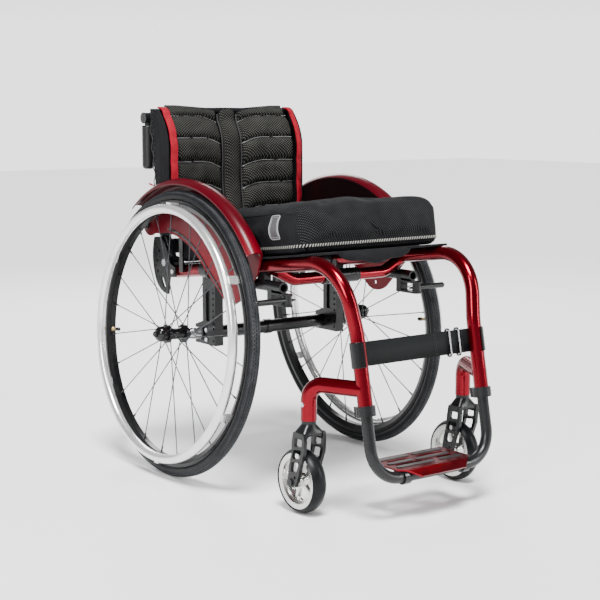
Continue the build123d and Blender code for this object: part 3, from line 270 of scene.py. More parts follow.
MATERIALS = {
    "red_paint": make_candy_red(),
    "guard_red": make_guard_red(),
    "black_anodised": worn_metal("black_anodised", (0.0055, 0.0058, 0.0064), 0.27, 0.0,
                                 Specular_IOR_Level=0.32),
    "steel": worn_metal("plated_steel", (0.60, 0.60, 0.62), 0.26, 1.0),
    "steel_bright": worn_metal("dark_steel", (0.30, 0.30, 0.32), 0.24, 1.0),
    "black_plastic": worn_metal("black_satin", (0.004, 0.004, 0.0045), 0.16, 0.0, 600.0,
                                Specular_IOR_Level=0.35),
    "rubber_grip": clouded(
        "grip_rubber", (0.006, 0.006, 0.0065), (0.36,), (60.0, 4.0),
        ((0.004, 0.004, 0.0045), (0.009, 0.009, 0.0095)), grain=(1400.0, 0.0001, 0.6),
        Specular_IOR_Level=0.35,
    ),
    # flat woven nylon
    "fabric_plain": clouded(
        "plain_fabric", (0.006, 0.006, 0.007), (0.8,), (22.0, 5.0),
        ((0.0035, 0.0036, 0.0046), (0.0080, 0.0082, 0.0100)), knit=(0.0022, 0.00022, 0.7),
        Specular_IOR_Level=0.15,
    ),
    "fabric_mesh": make_mesh_fabric("mesh_fabric", 0.0068, (0.0010, 0.0011, 0.0011), (0.080, 0.080, 0.072)),
    "fine_mesh": make_mesh_fabric("fine_mesh", 0.0058, (0.0012, 0.0014, 0.0016), (0.038, 0.040, 0.042)),
    "webbing": make_webbing(),
    "caster_rim_silver": worn_metal("machined_rim", (0.62, 0.62, 0.60), 0.24, 0.95),
    "tyre_black": make_tyre("tyre_rubber", (0.0045, 0.005, 0.0058), (0.0085, 0.009, 0.0102)),
    # paler rubber for the tread tops, a painted sheen
    "tread_top_sheen": make_tyre("tread_top_sheen", (0.016, 0.017, 0.019), (0.036, 0.038, 0.042)),
    "rim_black": worn_metal("rim_black", (0.004, 0.004, 0.0045), 0.28, 0.0, Specular_IOR_Level=0.3),
    "spoke_steel": worn_metal("spoke_steel", (0.060, 0.064, 0.068), 0.30, 0.9),
    "handrim_silver": clouded(
        "handrim_metal", (0.80, 0.80, 0.80), (0.24, 0.75), (24.0, 4.0),
        ((0.72, 0.725, 0.72), (0.86, 0.86, 0.855)), (0.16, 0.30), Coat_Weight=0.3, Coat_Roughness=0.1,
    ),
    # woven tape
    "edging_red": clouded(
        "edging_red", (0.26, 0.004, 0.014), (0.75,), (70.0, 4.0),
        ((0.19, 0.002, 0.009), (0.30, 0.005, 0.018)), knit=(0.0016, 0.00015, 0.6),
        Specular_IOR_Level=0.15,
    ),
    "thread": worn_metal("thread_silver", (0.30, 0.31, 0.31), 0.5, 0.2, 2000.0),
    "thread_dark": worn_metal("thread_dark", (0.012, 0.012, 0.013), 0.6, 0.0, 2000.0),
    "zip_grey": worn_metal("zip_grey", (0.24, 0.235, 0.21), 0.5, 0.1, 1500.0),
    "patch_grey": worn_metal("patch_grey", (0.055, 0.053, 0.056), 0.7, 0.0, 1500.0),
    "wire": worn_metal("dark_wire", (0.11, 0.11, 0.115), 0.22, 1.0),
    "brass": worn_metal("brass", (0.52, 0.38, 0.18), 0.3, 1.0),
}


def dress(thing, material):
    thing.data.materials.clear()
    thing.data.materials.append(material)


for part in frame["record"]["subparts"]:
    dress(nodes[part["node"]], MATERIALS[part["material_slot"]])
for name, _ in SIDES:
    dress(nodes[f"axle_button_{name}"], MATERIALS["black_plastic"])
dress(nodes["strap_buckles"], MATERIALS["wire"])

# ---- mesh helpers
AXLE_Y = 0.136           # rear axle, behind the middle of the chair
SLOPE = radians(7.0)     # seat, higher at the front
RAIL_REAR = (0.234, 0.4097)


def at(y):
    return AXLE_Y + y


def lerp(a, b, t):
    return a + (b - a) * t


def clamp01(t):
    return min(1.0, max(0.0, t))


def ease(t):
    t = clamp01(t)
    return t * t * (3 - 2 * t)


def jitter(point, scale, size, seed=0.0):
    """Smooth, repeatable unevenness."""
    return noise.noise(Vector(point) * scale + Vector((seed, 2.0 * seed, -seed))) * size


def make_piece(name, verts, faces, material, body, smooth=True):
    mesh = bpy.data.meshes.new(name)
    mesh.from_pydata([tuple(v) for v in verts], [], faces)
    mesh.validate()
    bm = bmesh.new()
    bm.from_mesh(mesh)
    bmesh.ops.recalc_face_normals(bm, faces=bm.faces)
    bm.to_mesh(mesh)
    bm.free()
    if smooth:
        mesh.polygons.foreach_set("use_smooth", [True] * len(mesh.polygons))
    piece = link_new(name, mesh)
    dress(piece, MATERIALS[material])
    if body:
        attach(piece, body)
    return piece


def circle(middle, one, two, radius, sides):
    """Points round a middle, in the plane of two directions."""
    turns = [2 * pi * j / sides for j in range(sides)]
    return [middle + (one * cos(turn) + two * sin(turn)) * radius for turn in turns]


class Shape:
    """Gathers vertices and faces of several closed forms into one mesh."""

    def __init__(self):
        self.verts, self.faces = [], []

    def loft(self, loops, closed=False, flat_ends=False):
        """Skins closed loops of equal length; the ends get fans, or one flat face each."""
        start, count = len(self.verts), len(loops[0])
        for loop in loops:
            self.verts.extend(Vector(p) for p in loop)
        rings = len(loops)
        for i in range(rings if closed else rings - 1):
            a, b = start + i * count, start + (i + 1) % rings * count
            for j in range(count):
                k = (j + 1) % count
                self.faces.append((a + j, a + k, b + k, b + j))
        last = start + (rings - 1) * count
        if flat_ends:
            self.faces.append(tuple(range(start, start + count)))
            self.faces.append(tuple(reversed(range(last, last + count))))
        elif not closed:
            for first in (start, last):
                middle = len(self.verts)
                self.verts.append(sum(self.verts[first:first + count], Vector()) / count)
                self.faces.extend((first + j, first + (j + 1) % count, middle) for j in range(count))
        return self

    def tube(self, points, radius, sides=8, closed=False):
        """A round bar along points; radius may be a list."""
        points = [Vector(p) for p in points]
        count = len(points)
        radii = radius if isinstance(radius, (list, tuple)) else [radius] * count
        normal, loops = None, []
        for i, point in enumerate(points):
            before = points[i - 1] if i or closed else point
            after = points[(i + 1) % count] if i < count - 1 or closed else point
            along = (after - before).normalized()
            if normal is None:
                normal = along.orthogonal()
            normal = (normal - along * normal.dot(along)).normalized()
            loops.append(circle(point, normal, along.cross(normal), radii[i], sides))
        return self.loft(loops, closed)

    def band(self, points, outs, sides, width, thick):
        """A flat strap along points: outs are its outward directions, sides its widthwise ones."""
        loops = []
        for point, out, side in zip(points, outs, sides):
            point, out, side = Vector(point), Vector(out).normalized(), Vector(side).normalized()
            w, t = side * width / 2, out * thick
            loops.append([
                point - w, point - w + t * 0.8, point - w * 0.9 + t, point + w * 0.9 + t,
                point + w + t * 0.8, point + w,
            ])
        return self.loft(loops)

    def box(self, centre, x_half, y_half, z_half, crown=0.86):
        """A small brick whose top and bottom are drawn in a little, by three half-axis vectors."""
        centre = Vector(centre)
        loops = []
        for level, shrink in ((-1, crown), (-0.8, 1), (0.8, 1), (1, crown)):
            loops.append([
                centre + z_half * level + (x_half * i + y_half * j) * shrink
                for i, j in ((-1, -1), (1, -1), (1, 1), (-1, 1))
            ])
        return self.loft(loops)

    def turn(self, origin, axis, profile, sides):
        """Turns (distance along axis, radius) points about an axis through origin."""
        axis = Vector(axis).normalized()
        one = axis.orthogonal().normalized()
        two = axis.cross(one)
        return self.loft([
            circle(Vector(origin) + axis * along, one, two, radius, sides) for along, radius in profile
        ])

    def make(self, name, material, body, slot=None, smooth=True):
        return make_piece(name, self.verts, self.faces, material, body, smooth)


def curve_through(points, count):
    """Evenly spread points on a smooth line through the given ones."""
    points = [Vector(p) for p in points]
    ends = [points[0] * 2 - points[1]] + points + [points[-1] * 2 - points[-2]]
    out = []
    for i in range(count):
        s = i / (count - 1) * (len(points) - 1)
        k = min(int(s), len(points) - 2)
        t = s - k
        a, b, c, d = ends[k:k + 4]
        out.append(0.5 * (2 * b + (c - a) * t + (2 * a - 5 * b + 4 * c - d) * t * t
                          + (3 * b - a - 3 * c + d) * t * t * t))
    return out


def stitches(shape, line, length, gap, radius):
    """Short raised threads along a line of close points."""
    walked, run = 0.0, [line[0]]
    drawing = True
    for before, after in zip(line, line[1:]):
        walked += (after - before).length
        if drawing:
            run.append(after)
        if walked >= (length if drawing else gap):
            if drawing and len(run) > 1:
                shape.tube(run, radius, 5)
            walked, drawing, run = 0.0, not drawing, [after]


# ---- seat
seat_up = Vector((0, sin(SLOPE), cos(SLOPE)))
seat_back = Vector((0, cos(SLOPE), -sin(SLOPE)))
seat_origin = Vector((0, RAIL_REAR[0], RAIL_REAR[1]))
CUSHION_LOW, CUSHION_HIGH = 0.0186, 0.1156
CUSHION_HALF, CUSHION_FRONT, CUSHION_REAR = 0.182, -0.366, 0.092
CUSHION_PRESSURE, SWELL_CAP, VOXEL = 4.0, 0.006, 0.0055
ZIP_UP, ZIP_STEP = CUSHION_LOW + 0.0155, 0.0022
PATCH_W, PATCH_T, PATCH_CORNER, PATCH_PROUD = 0.0165, 0.0235, 0.006, 0.0014


def seat_long(y):
    """Distance along the seat of a place y behind the rear axle."""
    return (at(y) - RAIL_REAR[0]) / cos(SLOPE)


def seat_point(x, along, up):
    """A point on the seat: x across, distance along it, height above the side tubes' line."""
    return seat_origin + seat_back * along + seat_up * up + Vector((x, 0, 0))


def on_seat(x, y, up):
    return seat_point(x, seat_long(y), up)


def seat_coords(point):
    """The x, distance along the seat and height of a point."""
    offset = point - seat_origin
    return point.x, offset.dot(seat_back), offset.dot(seat_up)


SEAT_LONG_FRONT, SEAT_LONG_REAR = seat_long(CUSHION_FRONT), seat_long(CUSHION_REAR)


def cushion_outline(shrink, corner):
    """A rounded rectangle on the seat, shrink inside the cushion's edges."""
    arc_steps, edge_steps = 8, 22
    x_half = CUSHION_HALF - shrink
    low, high = SEAT_LONG_FRONT + shrink, SEAT_LONG_REAR - shrink
    out = []
    spans = (
        (x_half - corner, low + corner, -90, 0), (x_half - corner, high - corner, 0, 90),
        (-x_half + corner, high - corner, 90, 180), (-x_half + corner, low + corner, 180, 270),
    )
    for n, (cx, cy, start, end) in enumerate(spans):
        for i in range(arc_steps + 1):
            a = radians(lerp(start, end, i / arc_steps))
            out.append((cx + corner * cos(a), cy + corner * sin(a)))
        nx, ny, na, _ = spans[(n + 1) % 4]
        goal = (nx + corner * cos(radians(na)), ny + corner * sin(radians(na)))
        last = out[-1]
        for i in range(1, edge_steps):
            out.append((lerp(last[0], goal[0], i / edge_steps), lerp(last[1], goal[1], i / edge_steps)))
    return out


def cushion_core():
    """The cushion before it is filled: a soft-edged slab, closed over smaller and smaller outlines."""
    inner = (0.04, 0.08, 0.12, 0.155)
    rows = [(CUSHION_LOW, shrink, 0.02) for shrink in reversed(inner)]
    rows += [
        (CUSHION_LOW, 0.012, 0.020), (CUSHION_LOW + 0.003, 0.006, 0.022), (CUSHION_LOW + 0.010, 0.004, 0.024),
        (CUSHION_LOW + 0.030, 0.004, 0.026), (CUSHION_LOW + 0.055, 0.004, 0.028),
        (CUSHION_HIGH - 0.022, 0.004, 0.030), (CUSHION_HIGH - 0.010, 0.007, 0.032),
        (CUSHION_HIGH - 0.004, 0.014, 0.034),
    ]
    rows += [(CUSHION_HIGH - 0.003, shrink, 0.02) for shrink in inner]
    return Shape().loft([
        [seat_point(x, along, up) for x, along in cushion_outline(shrink, corner)]
        for up, shrink, corner in rows
    ])


def bake(piece):
    """Replaces a piece's mesh with its evaluated one."""
    graph = bpy.context.evaluated_depsgraph_get()
    graph.update()
    mesh = bpy.data.meshes.new_from_object(piece.evaluated_get(graph))
    piece.modifiers.clear()
    piece.data = mesh
    mesh.polygons.foreach_set("use_smooth", [True] * len(mesh.polygons))


def fill_with_air(piece, voxel, pressure, cap, frames=20):
    """Remeshes a closed piece, lets cloth pressure swell it, and limits how far a point may go."""
    remesh = piece.modifiers.new("remesh", "REMESH")
    remesh.mode, remesh.voxel_size = "VOXEL", voxel
    bake(piece)
    rest = [v.co.copy() for v in piece.data.vertices]
    cloth = piece.modifiers.new("cloth", "CLOTH")
    settings = cloth.settings
    settings.quality = 4
    settings.mass = 0.3
    settings.tension_stiffness = settings.compression_stiffness = 12
    settings.bending_stiffness = 4
    settings.use_pressure = True
    settings.uniform_pressure_force = pressure
    settings.effector_weights.gravity = 0
    cloth.collision_settings.use_collision = False
    scene = bpy.context.scene
    for frame_number in range(1, frames + 1):
        scene.frame_set(frame_number)
    bake(piece)
    scene.frame_set(1)
    for vertex, home in zip(piece.data.vertices, rest):
        move = vertex.co - home
        if move.length > cap:
            vertex.co = home + move.normalized() * cap


def settle_cushion(point):
    """Contour of the filled cushion: leg troughs, a pommel, pulled-in sides and a flat base."""
    x, along, up = seat_coords(point)
    t = clamp01((up - CUSHION_LOW) / (CUSHION_HIGH - CUSHION_LOW))
    forward = clamp01((SEAT_LONG_REAR - along) / (SEAT_LONG_REAR - SEAT_LONG_FRONT))
    # troughs under the thighs, a pommel between them and raised outer edges
    contour = 0.0055 * exp(-((x + 0.028) / 0.045) ** 2) + 0.003 * (abs(x) / CUSHION_HALF) ** 6
    up += contour * ease(t * 1.4 - 0.4) * lerp(0.3, 1.0, ease(forward))
    up = max(up, CUSHION_LOW + 0.0004)
    # the sides lean out towards the top and draw in towards the zip
    lean = 0.007 * sin(pi * clamp01(0.15 + 0.85 * t) * 0.9) - 0.002
    middle = (SEAT_LONG_FRONT + SEAT_LONG_REAR) / 2
    reach = (SEAT_LONG_REAR - SEAT_LONG_FRONT) / 2
    front_edge = ease((middle - reach * 0.72 - along) / (reach * 0.28))
    side_edge = ease((abs(x) - CUSHION_HALF * 0.80) / (CUSHION_HALF * 0.20))
    along -= lean * front_edge
    past_guard = ease((SEAT_LONG_FRONT + 0.125 - along) / 0.08)
    x += (lean * past_guard) * side_edge * (1 if x > 0 else -1)
    # loose cover: long soft ripples that fade at the edges
    up += jitter((x, along, 0), 22, 0.0012, 3.1) * ease(t * 2 - 1)
    ripple = jitter((x, along * 0.6, up * 1.5), 34, 0.0014, 7.7) * (1 - abs(2 * t - 1))
    along += ripple * front_edge
    return seat_point(x, along, up)


class Cover:
    """The cushion's finished surface, which its zip, seams and patch follow."""

    def __init__(self, piece):
        mesh = piece.data
        faces = [p.vertices for p in mesh.polygons]
        self.tree = BVHTree.FromPolygons([v.co for v in mesh.vertices], faces)

    def meet(self, point, out, reach):
        """Where a ray from outside meets the cover, and the cover's normal there."""
        hit, normal, _, _ = self.tree.ray_cast(point + out * reach, -out)
        return (hit, normal) if hit is not None else (point, out)

    def at(self, x, along, up, out):
        return self.meet(seat_point(x, along, up), out, 0.06)


def make_zip(cover):
    """A zip round the front and the right side: a tape with light teeth along it."""
    inset, right = 0.03, Vector((-1, 0, 0))
    corner = SEAT_LONG_FRONT + inset
    start = 0.02 + SEAT_LONG_FRONT + 0.22

    def bend(x, first):
        for i in range(13):
            a = radians(lerp(first, first + 90, i / 12))
            route.append((x, corner, Vector((cos(a), 0, 0)) + seat_back * sin(a)))

    route = [(-CUSHION_HALF, lerp(start, corner, i / 60), right) for i in range(61)]
    bend(-CUSHION_HALF + inset, 180)
    for i in range(101):
        x = lerp(-CUSHION_HALF + inset, CUSHION_HALF - inset, i / 100)
        route.append((x, SEAT_LONG_FRONT, -seat_back))
    bend(CUSHION_HALF - inset, 270)
    line, normals = [], []
    for x, along, out in route:
        spot, normal = cover.at(x, along, ZIP_UP, out)
        if not line or (spot - line[-1]).length > ZIP_STEP:
            line.append(spot)
            normals.append(normal)
    tape, teeth = Shape(), Shape()
    foot = [p - n * 0.0006 for p, n in zip(line, normals)]
    tape.band(foot, normals, [seat_up] * len(line), 0.0085, 0.0013)
    for i in range(1, len(line) - 1, 2):
        along = (line[i + 1] - line[i - 1]).normalized()
        slant = (seat_up + along * 0.55).normalized()
        teeth.box(line[i] + normals[i] * 0.0011, along * 0.0012, slant * 0.0030, normals[i] * 0.0007)
    return [tape.make("cushion_zip_tape", "fabric_plain", "frame"),
            teeth.make("cushion_zip_teeth", "zip_grey", "frame", "steel")]


def make_cushion_piping(cover):
    """Piped seams: up the front corners and along the top of each side panel."""
    seams, top = Shape(), CUSHION_HIGH - 0.021
    for side in (-1, 1):
        out = Vector((side, 0, 0))
        route = []
        for i in range(25):
            along = SEAT_LONG_FRONT + 0.017 + 0.004 * sin(pi * i / 24)
            route.append((along, lerp(CUSHION_LOW + 0.018, top, i / 24)))
        for i in range(1, 80):
            along = lerp(SEAT_LONG_FRONT + 0.019, SEAT_LONG_REAR - 0.02, i / 79)
            route.append((along, top + 0.004 * ease(i / 10)))
        points = []
        for along, up in route:
            spot, normal = cover.at(side * CUSHION_HALF, along, up, out)
            points.append(spot + normal * 0.0002)
        seams.tube(points, 0.0011, 6)
    return [seams.make("cushion_piping", "fabric_plain", "frame")]


def make_patch(cover):
    """A blank woven patch on the user's right, with a stitched border."""
    right = Vector((-1, 0, 0))
    centre, normal = cover.at(-CUSHION_HALF, SEAT_LONG_FRONT + 0.079, CUSHION_LOW + 0.054, right)
    across, tall = seat_back, (normal.cross(seat_back)).normalized()
    if tall.z < 0:
        tall = -tall

    def lay(point, proud):
        return cover.meet(point, right, 0.05)[0] + Vector((-proud, 0, 0))

    def ring(half_w, half_t, corner, proud):
        """A rounded outline, with points between its corners so that it bends with the cover."""
        loop = []
        for cx, cy, start in ((1, 1, 0), (-1, 1, 90), (-1, -1, 180), (1, -1, 270)):
            for i in range(7):
                a = radians(start + 15 * i)
                flat = (across * (cx * (half_w - corner) + corner * cos(a))
                        + tall * (cy * (half_t - corner) + corner * sin(a)))
                loop.append(lay(centre + flat, proud))
        full = []
        for i, point in enumerate(loop):
            full.append(point)
            if i % 7 == 6:
                goal = loop[(i + 1) % len(loop)]
                full.extend(lay(point.lerp(goal, k / 6), proud) for k in range(1, 6))
        return full

    rings = [ring(PATCH_W, PATCH_T, PATCH_CORNER, proud) for proud in (-0.0008, 0.0010)]
    for shrink in (0.001, 0.003, 0.005, 0.007, 0.009, 0.011, 0.013, 0.015):
        corner = PATCH_CORNER * (1 - shrink / PATCH_W)
        rings.append(ring(PATCH_W - shrink, PATCH_T - shrink, corner, PATCH_PROUD))
    patch = Shape().loft(rings)
    edge = Shape().tube(ring(0.0160, 0.0230, 0.0058, PATCH_PROUD), 0.0009, 6, closed=True)
    edge.tube(ring(0.0125, 0.0195, 0.0045, PATCH_PROUD), 0.0004, 5, closed=True)
    return [patch.make("cushion_patch", "patch_grey", "frame", "fabric_plain"),
            edge.make("cushion_patch_edge", "thread", "frame", "fabric_plain")]


def make_cushion():
    cushion = cushion_core().make("seat_cushion_cover", "fine_mesh", None)
    fill_with_air(cushion, VOXEL, CUSHION_PRESSURE, SWELL_CAP)
    for vertex in cushion.data.vertices:
        vertex.co = settle_cushion(vertex.co.copy())
    # the side panels and the base are plain fabric
    cushion.data.materials.append(MATERIALS["fabric_plain"])
    for face in cushion.data.polygons:
        _, along, up = seat_coords(face.center)
        t = (up - CUSHION_LOW) / (CUSHION_HIGH - CUSHION_LOW)
        if (abs(face.normal.x) > 0.6 and t < 0.80 and along > SEAT_LONG_FRONT + 0.016) or t < 0.06:
            face.material_index = 1
    subdivide = cushion.modifiers.new("smooth", "SUBSURF")
    subdivide.levels = subdivide.render_levels = 1
    bake(cushion)
    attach(cushion, "frame")
    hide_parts("seat_cushion")
    cover = Cover(cushion)
    for piece in [cushion] + make_zip(cover) + make_cushion_piping(cover) + make_patch(cover):
        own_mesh(piece)


def make_sling():
    """Seat fabric stretched between the side tubes, its front edge hemmed round a batten."""
    half, front, rear = 0.178, -0.372, 0.090
    columns, rows = 46, 58
    top, low = 0.0183, 0.0143
    verts, faces = [], []
    for layer in (0, 1):
        for j in range(rows + 1):
            for i in range(columns + 1):
                u, v = i / columns, j / rows
                x, y = lerp(-half, half, u), lerp(front, rear, v)
                sag = 0.0016 * sin(pi * u) * (0.4 + 0.6 * sin(pi * v))
                up = (top if layer else low) - sag
                if layer:
                    up -= 0.0012 * (1 - min(1.0, min(v, 1 - v) * rows / 1.5))
                up += jitter((x, y, 0), 30, 0.0004, 1.3) * sin(pi * u)
                verts.append(on_seat(x, y, up))
    across = columns + 1
    block = across * (rows + 1)
    for j in range(rows):
        for i in range(columns):
            a = j * across + i
            faces.append((a, a + 1, a + 1 + across, a + across))
            b = a + block
            faces.append((b, b + across, b + 1 + across, b + 1))
    border = ([(0, i) for i in range(columns)] + [(j, columns) for j in range(rows)]
              + [(rows, i) for i in range(columns, 0, -1)] + [(j, 0) for j in range(rows, 0, -1)])
    for n, (j, i) in enumerate(border):
        j2, i2 = border[(n + 1) % len(border)]
        a, b = j * across + i, j2 * across + i2
        faces.append((a, a + block, b + block, b))
    sling = make_piece("seat_sling_cloth", verts, faces, "fabric_plain", "frame")
    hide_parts("seat_sling")
    # front hem batten and its stitch lines
    hem = Shape()
    hem.tube([on_seat(x * half / 20, front - 0.0006, 0.0163) for x in range(-20, 21)], 0.0024, 8)
    hem.make("sling_hem", "fabric_plain", "frame")
    thread = Shape()
    for inset in (0.010, 0.013):
        line = [on_seat(x * (half - 0.004) / 60, front + inset, top + 0.0001) for x in range(-60, 61)]
        stitches(thread, line, 0.004, 0.002, 0.0004)
    thread.make("sling_stitches", "thread_dark", "frame", "fabric_plain")


def make_pouch():
    """A soft fold of seat fabric that hangs under the cushion's front edge."""
    loops, count, y, high = [], 34, -0.3755, 0.0175
    for i in range(count + 1):
        u = i / count
        x = lerp(-0.100, 0.084, u)
        swell = sin(pi * u) ** 0.55
        drop = 0.0205 * swell * (1 + 0.12 * sin(5 * pi * u)) + 0.004
        deep = 0.011 * swell + 0.0015
        ring = []
        for k in range(16):
            a = 2 * pi * k / 16
            fold = 1 + 0.10 * sin(3 * a + 7 * u)
            ring.append(on_seat(x, y + 0.004 - deep * 0.5 * (1 + cos(a) * fold) + 0.002,
                                high - drop * 0.5 * (1 - sin(a))))
        loops.append(ring)
    pouch = Shape().loft(loops).make("sling_pouch", "fabric_plain", "frame")


# ---- back
CANE_R, BACK_LOW = 0.011, 0.500
PAD_IN, PAD_OUT = 0.026, 0.157
GUSSET_SHORT = 0.001
SEAM_HEIGHTS = (0.540, 0.592, 0.641, 0.692, 0.7385)
PUFF, SUNK = 0.0125, 0.0090
EDGING_X, EDGING_BEND, EDGING_TOP = 0.1645, 0.742, 0.7545
GUSSET_X, GUSSET_STEPS = 0.1780, 16
STRAP_HEIGHTS = (0.540, 0.585, 0.630, 0.675, 0.720)


def cane_y(z):
    return at(0.150 + (z - 0.492) * 0.030 / 0.253)


def panel_y(z):
    slack = 0.0028 + 0.0062 * (0.752 - z) / 0.266
    return cane_y(z) - CANE_R - slack - 0.005


def roll_back(z):
    """How far the padding leans back near the top."""
    return max(0.0, z - 0.670) ** 2 * 1000 / 176


def pad_y(x, z):
    """Front of the padding before it is quilted, at a height and a distance from the middle."""
    outer = min(at(0.105) + roll_back(z), panel_y(z) - 0.014)
    inner = min(at(0.127) + roll_back(z), panel_y(z) - 0.012)
    return lerp(inner, outer, clamp01((abs(x) - 0.024) / 0.148))


def seam_z(height, x):
    """A seam is level across the outer half of a pad and dips towards the middle."""
    bend = clamp01((0.082 - abs(x)) / 0.056)
    return height - 0.0155 * bend ** 1.8


def quilt(x, z):
    """0 on a seam, 1 in the middle of a channel."""
    levels = [0.470] + [seam_z(h, x) for h in SEAM_HEIGHTS] + [0.778]
    for low, high in zip(levels, levels[1:]):
        if low <= z <= high:
            t = (z - low) / (high - low)
            return (1 - abs(2 * t - 1) ** 3.0) ** 0.75
    return 0.5


def pad_top(x):
    return lerp(0.7545, 0.7615, clamp01((abs(x) - 0.026) / 0.10))


def make_pad(side):
    """One quilted pad: a closed pillow whose channels are sewn through."""
    name = "left" if side > 0 else "right"
    columns, rows = 54, 132
    loops = []
    for j in range(rows + 1):
        v = j / rows
        loop = []
        close = 1 - max(0.0, (v - 0.94) / 0.06) ** 2
        foot = 1 - max(0.0, (0.03 - v) / 0.03) ** 2
        open_up = sqrt(max(0.0004, min(close, foot)))
        outer = PAD_OUT - 0.004 * ease((v - 0.85) / 0.15)
        for i in range(columns + 1):
            u = i / columns
            a = lerp(PAD_IN, outer, u)
            z = lerp(BACK_LOW, pad_top(a), v)
            edge = 1 - abs(2 * u - 1) ** 9
            base = pad_y(a, z)
            back = panel_y(z) - 0.0004
            puff = PUFF * quilt(a, z) * edge ** 0.5 - SUNK
            rumple = jitter((a * side, 0, z), 46, 0.0011, 5.0 * side)
            puff += rumple + jitter((a, 0, z * 0.5), 120, 0.0004, side)
            y = base - puff
            rounding = 0.011 * (1 - edge ** 0.35)
            y = lerp(back - 0.003, min(y + rounding, back - 0.004), open_up)
            loop.append((side * a, y, z))
        for i in range(columns, -1, -3):
            a = lerp(PAD_IN, outer, i / columns)
            z = lerp(BACK_LOW, pad_top(a), v)
            loop.append((side * a, panel_y(z) - 0.0004, z))
        loops.append(loop)
    pad = Shape().loft(loops).make(f"back_pad_quilted_{name}", "fabric_mesh", "backrest")
    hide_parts(f"back_pad_{name}")

    # light thread in each seam, and a piping down the inner edge
    thread = Shape()
    for height in SEAM_HEIGHTS:
        line = []
        for i in range(120):
            a = lerp(PAD_IN + 0.002, PAD_OUT - 0.001, i / 119)
            z = seam_z(height, a) + jitter((a, height, 0), 60, 0.0006, side)
            puff = PUFF * quilt(a, z) - SUNK
            line.append(Vector((side * a, pad_y(a, z) - puff - 0.0013, z)))
        if height == SEAM_HEIGHTS[-1]:
            thread.tube(line[:2], 0.0008, 5)
            stitches(thread, line, 0.0042, 0.0022, 0.0006)
        else:
            thread.tube(line[::3], 0.0008, 5)
    thread.make(f"back_seam_thread_{name}", "thread", "backrest", "fabric_plain")
    piping = Shape()
    line = []
    for i in range(70):
        z = lerp(0.503, 0.742, i / 69)
        line.append(Vector((side * (PAD_IN - 0.0012 + jitter((0, 0, z), 30, 0.0012, side)),
                            pad_y(PAD_IN, z) + 0.004, z)))
    piping.tube(line, 0.0016, 8)
    piping.make(f"back_piping_{name}", "thread_dark", "backrest", "fabric_plain")

    # red edging between the pad and the gusset, wrapped back over the top
    points, outs, sides = [], [], []
    for i in range(80):
        z = lerp(0.502, EDGING_BEND, i / 79)
        x = EDGING_X + jitter((0, z, 0), 26, 0.0014, 4 * side)
        pinch = 0.002 * (1 - quilt(PAD_OUT, z))
        points.append((side * x, pad_y(0.160, z) - 0.0015 + pinch, z))
        outs.append((side * 0.30, -1, 0.15 * ease((z - 0.68) / 0.07)))
        sides.append((side, 0.34, 0))
    x, y, z = points[-1]
    for i in range(1, 17):
        a = radians(90 * i / 16)
        points.append((x, y + 0.024 * (1 - cos(a)), z + (EDGING_TOP - EDGING_BEND) * sin(a)))
        outs.append((side * 0.30 * cos(a), -cos(a), sin(a) + 0.15))
        sides.append((side, 0.34 * cos(a), 0))
    band = Shape().band(points, outs, sides, 0.0155, 0.0035)
    band.make(f"back_edging_{name}", "edging_red", "backrest", "fabric_plain")


def gusset_row(side, v, z, front, back):
    """One level of a side gusset, from its front edge to its rear one."""
    wave = jitter((0, 0, z), 40, 0.0012, 2.0)
    row = []
    for k in range(GUSSET_STEPS + 1):
        t = k / GUSSET_STEPS
        crease = -0.0012 * exp(-((t - 0.42) / 0.05) ** 2)
        bulge = 0.0022 * sin(pi * t) * (0.6 + 0.4 * sin(11 * v + (1.0 if side > 0 else 2.0)))
        row.append((side * (GUSSET_X + bulge + crease + wave * sin(pi * t)), lerp(front, back, t), z))
    return row


def make_back_shell():
    """The fabric back itself: a rear panel and two side gussets."""
    loops, rows, span = [], 66, 30
    skin, lining = GUSSET_X - 0.0032, GUSSET_X - 0.0033
    for j in range(rows + 1):
        v = j / rows
        z = lerp(0.486, 0.7535, v)
        front = panel_y(z)
        gusset_front = min(at(0.105) + roll_back(z) + 0.003, front - 0.008)
        gusset_back = cane_y(z) - GUSSET_SHORT
        loop = gusset_row(1, v, z, gusset_front, gusset_back)
        loop.append((skin, gusset_back, z))
        for k in range(span + 1):
            x = lerp(lining, -lining, k / span)
            rib = 0.0007 * abs(sin(pi * v * 9)) * ease((0.16 - abs(x)) / 0.02)
            loop.append((x, front + 0.005 + rib * 0.8, z))
        loop.append((-skin, gusset_back, z))
        loop.extend(reversed(gusset_row(-1, v, z, gusset_front, gusset_back)))
        loop.append((-skin, gusset_front, z))
        loop.append((-lining, front, z))
        for k in range(span + 1):
            loop.append((lerp(-GUSSET_X + 0.0040, GUSSET_X - 0.0040, k / span), front, z))
        loop.append((lining, front, z))
        loop.append((skin, gusset_front, z))
        loops.append(loop)
    shell = Shape().loft(loops, flat_ends=True).make("back_shell", "fabric_plain", "backrest")
    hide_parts("back_upholstery")


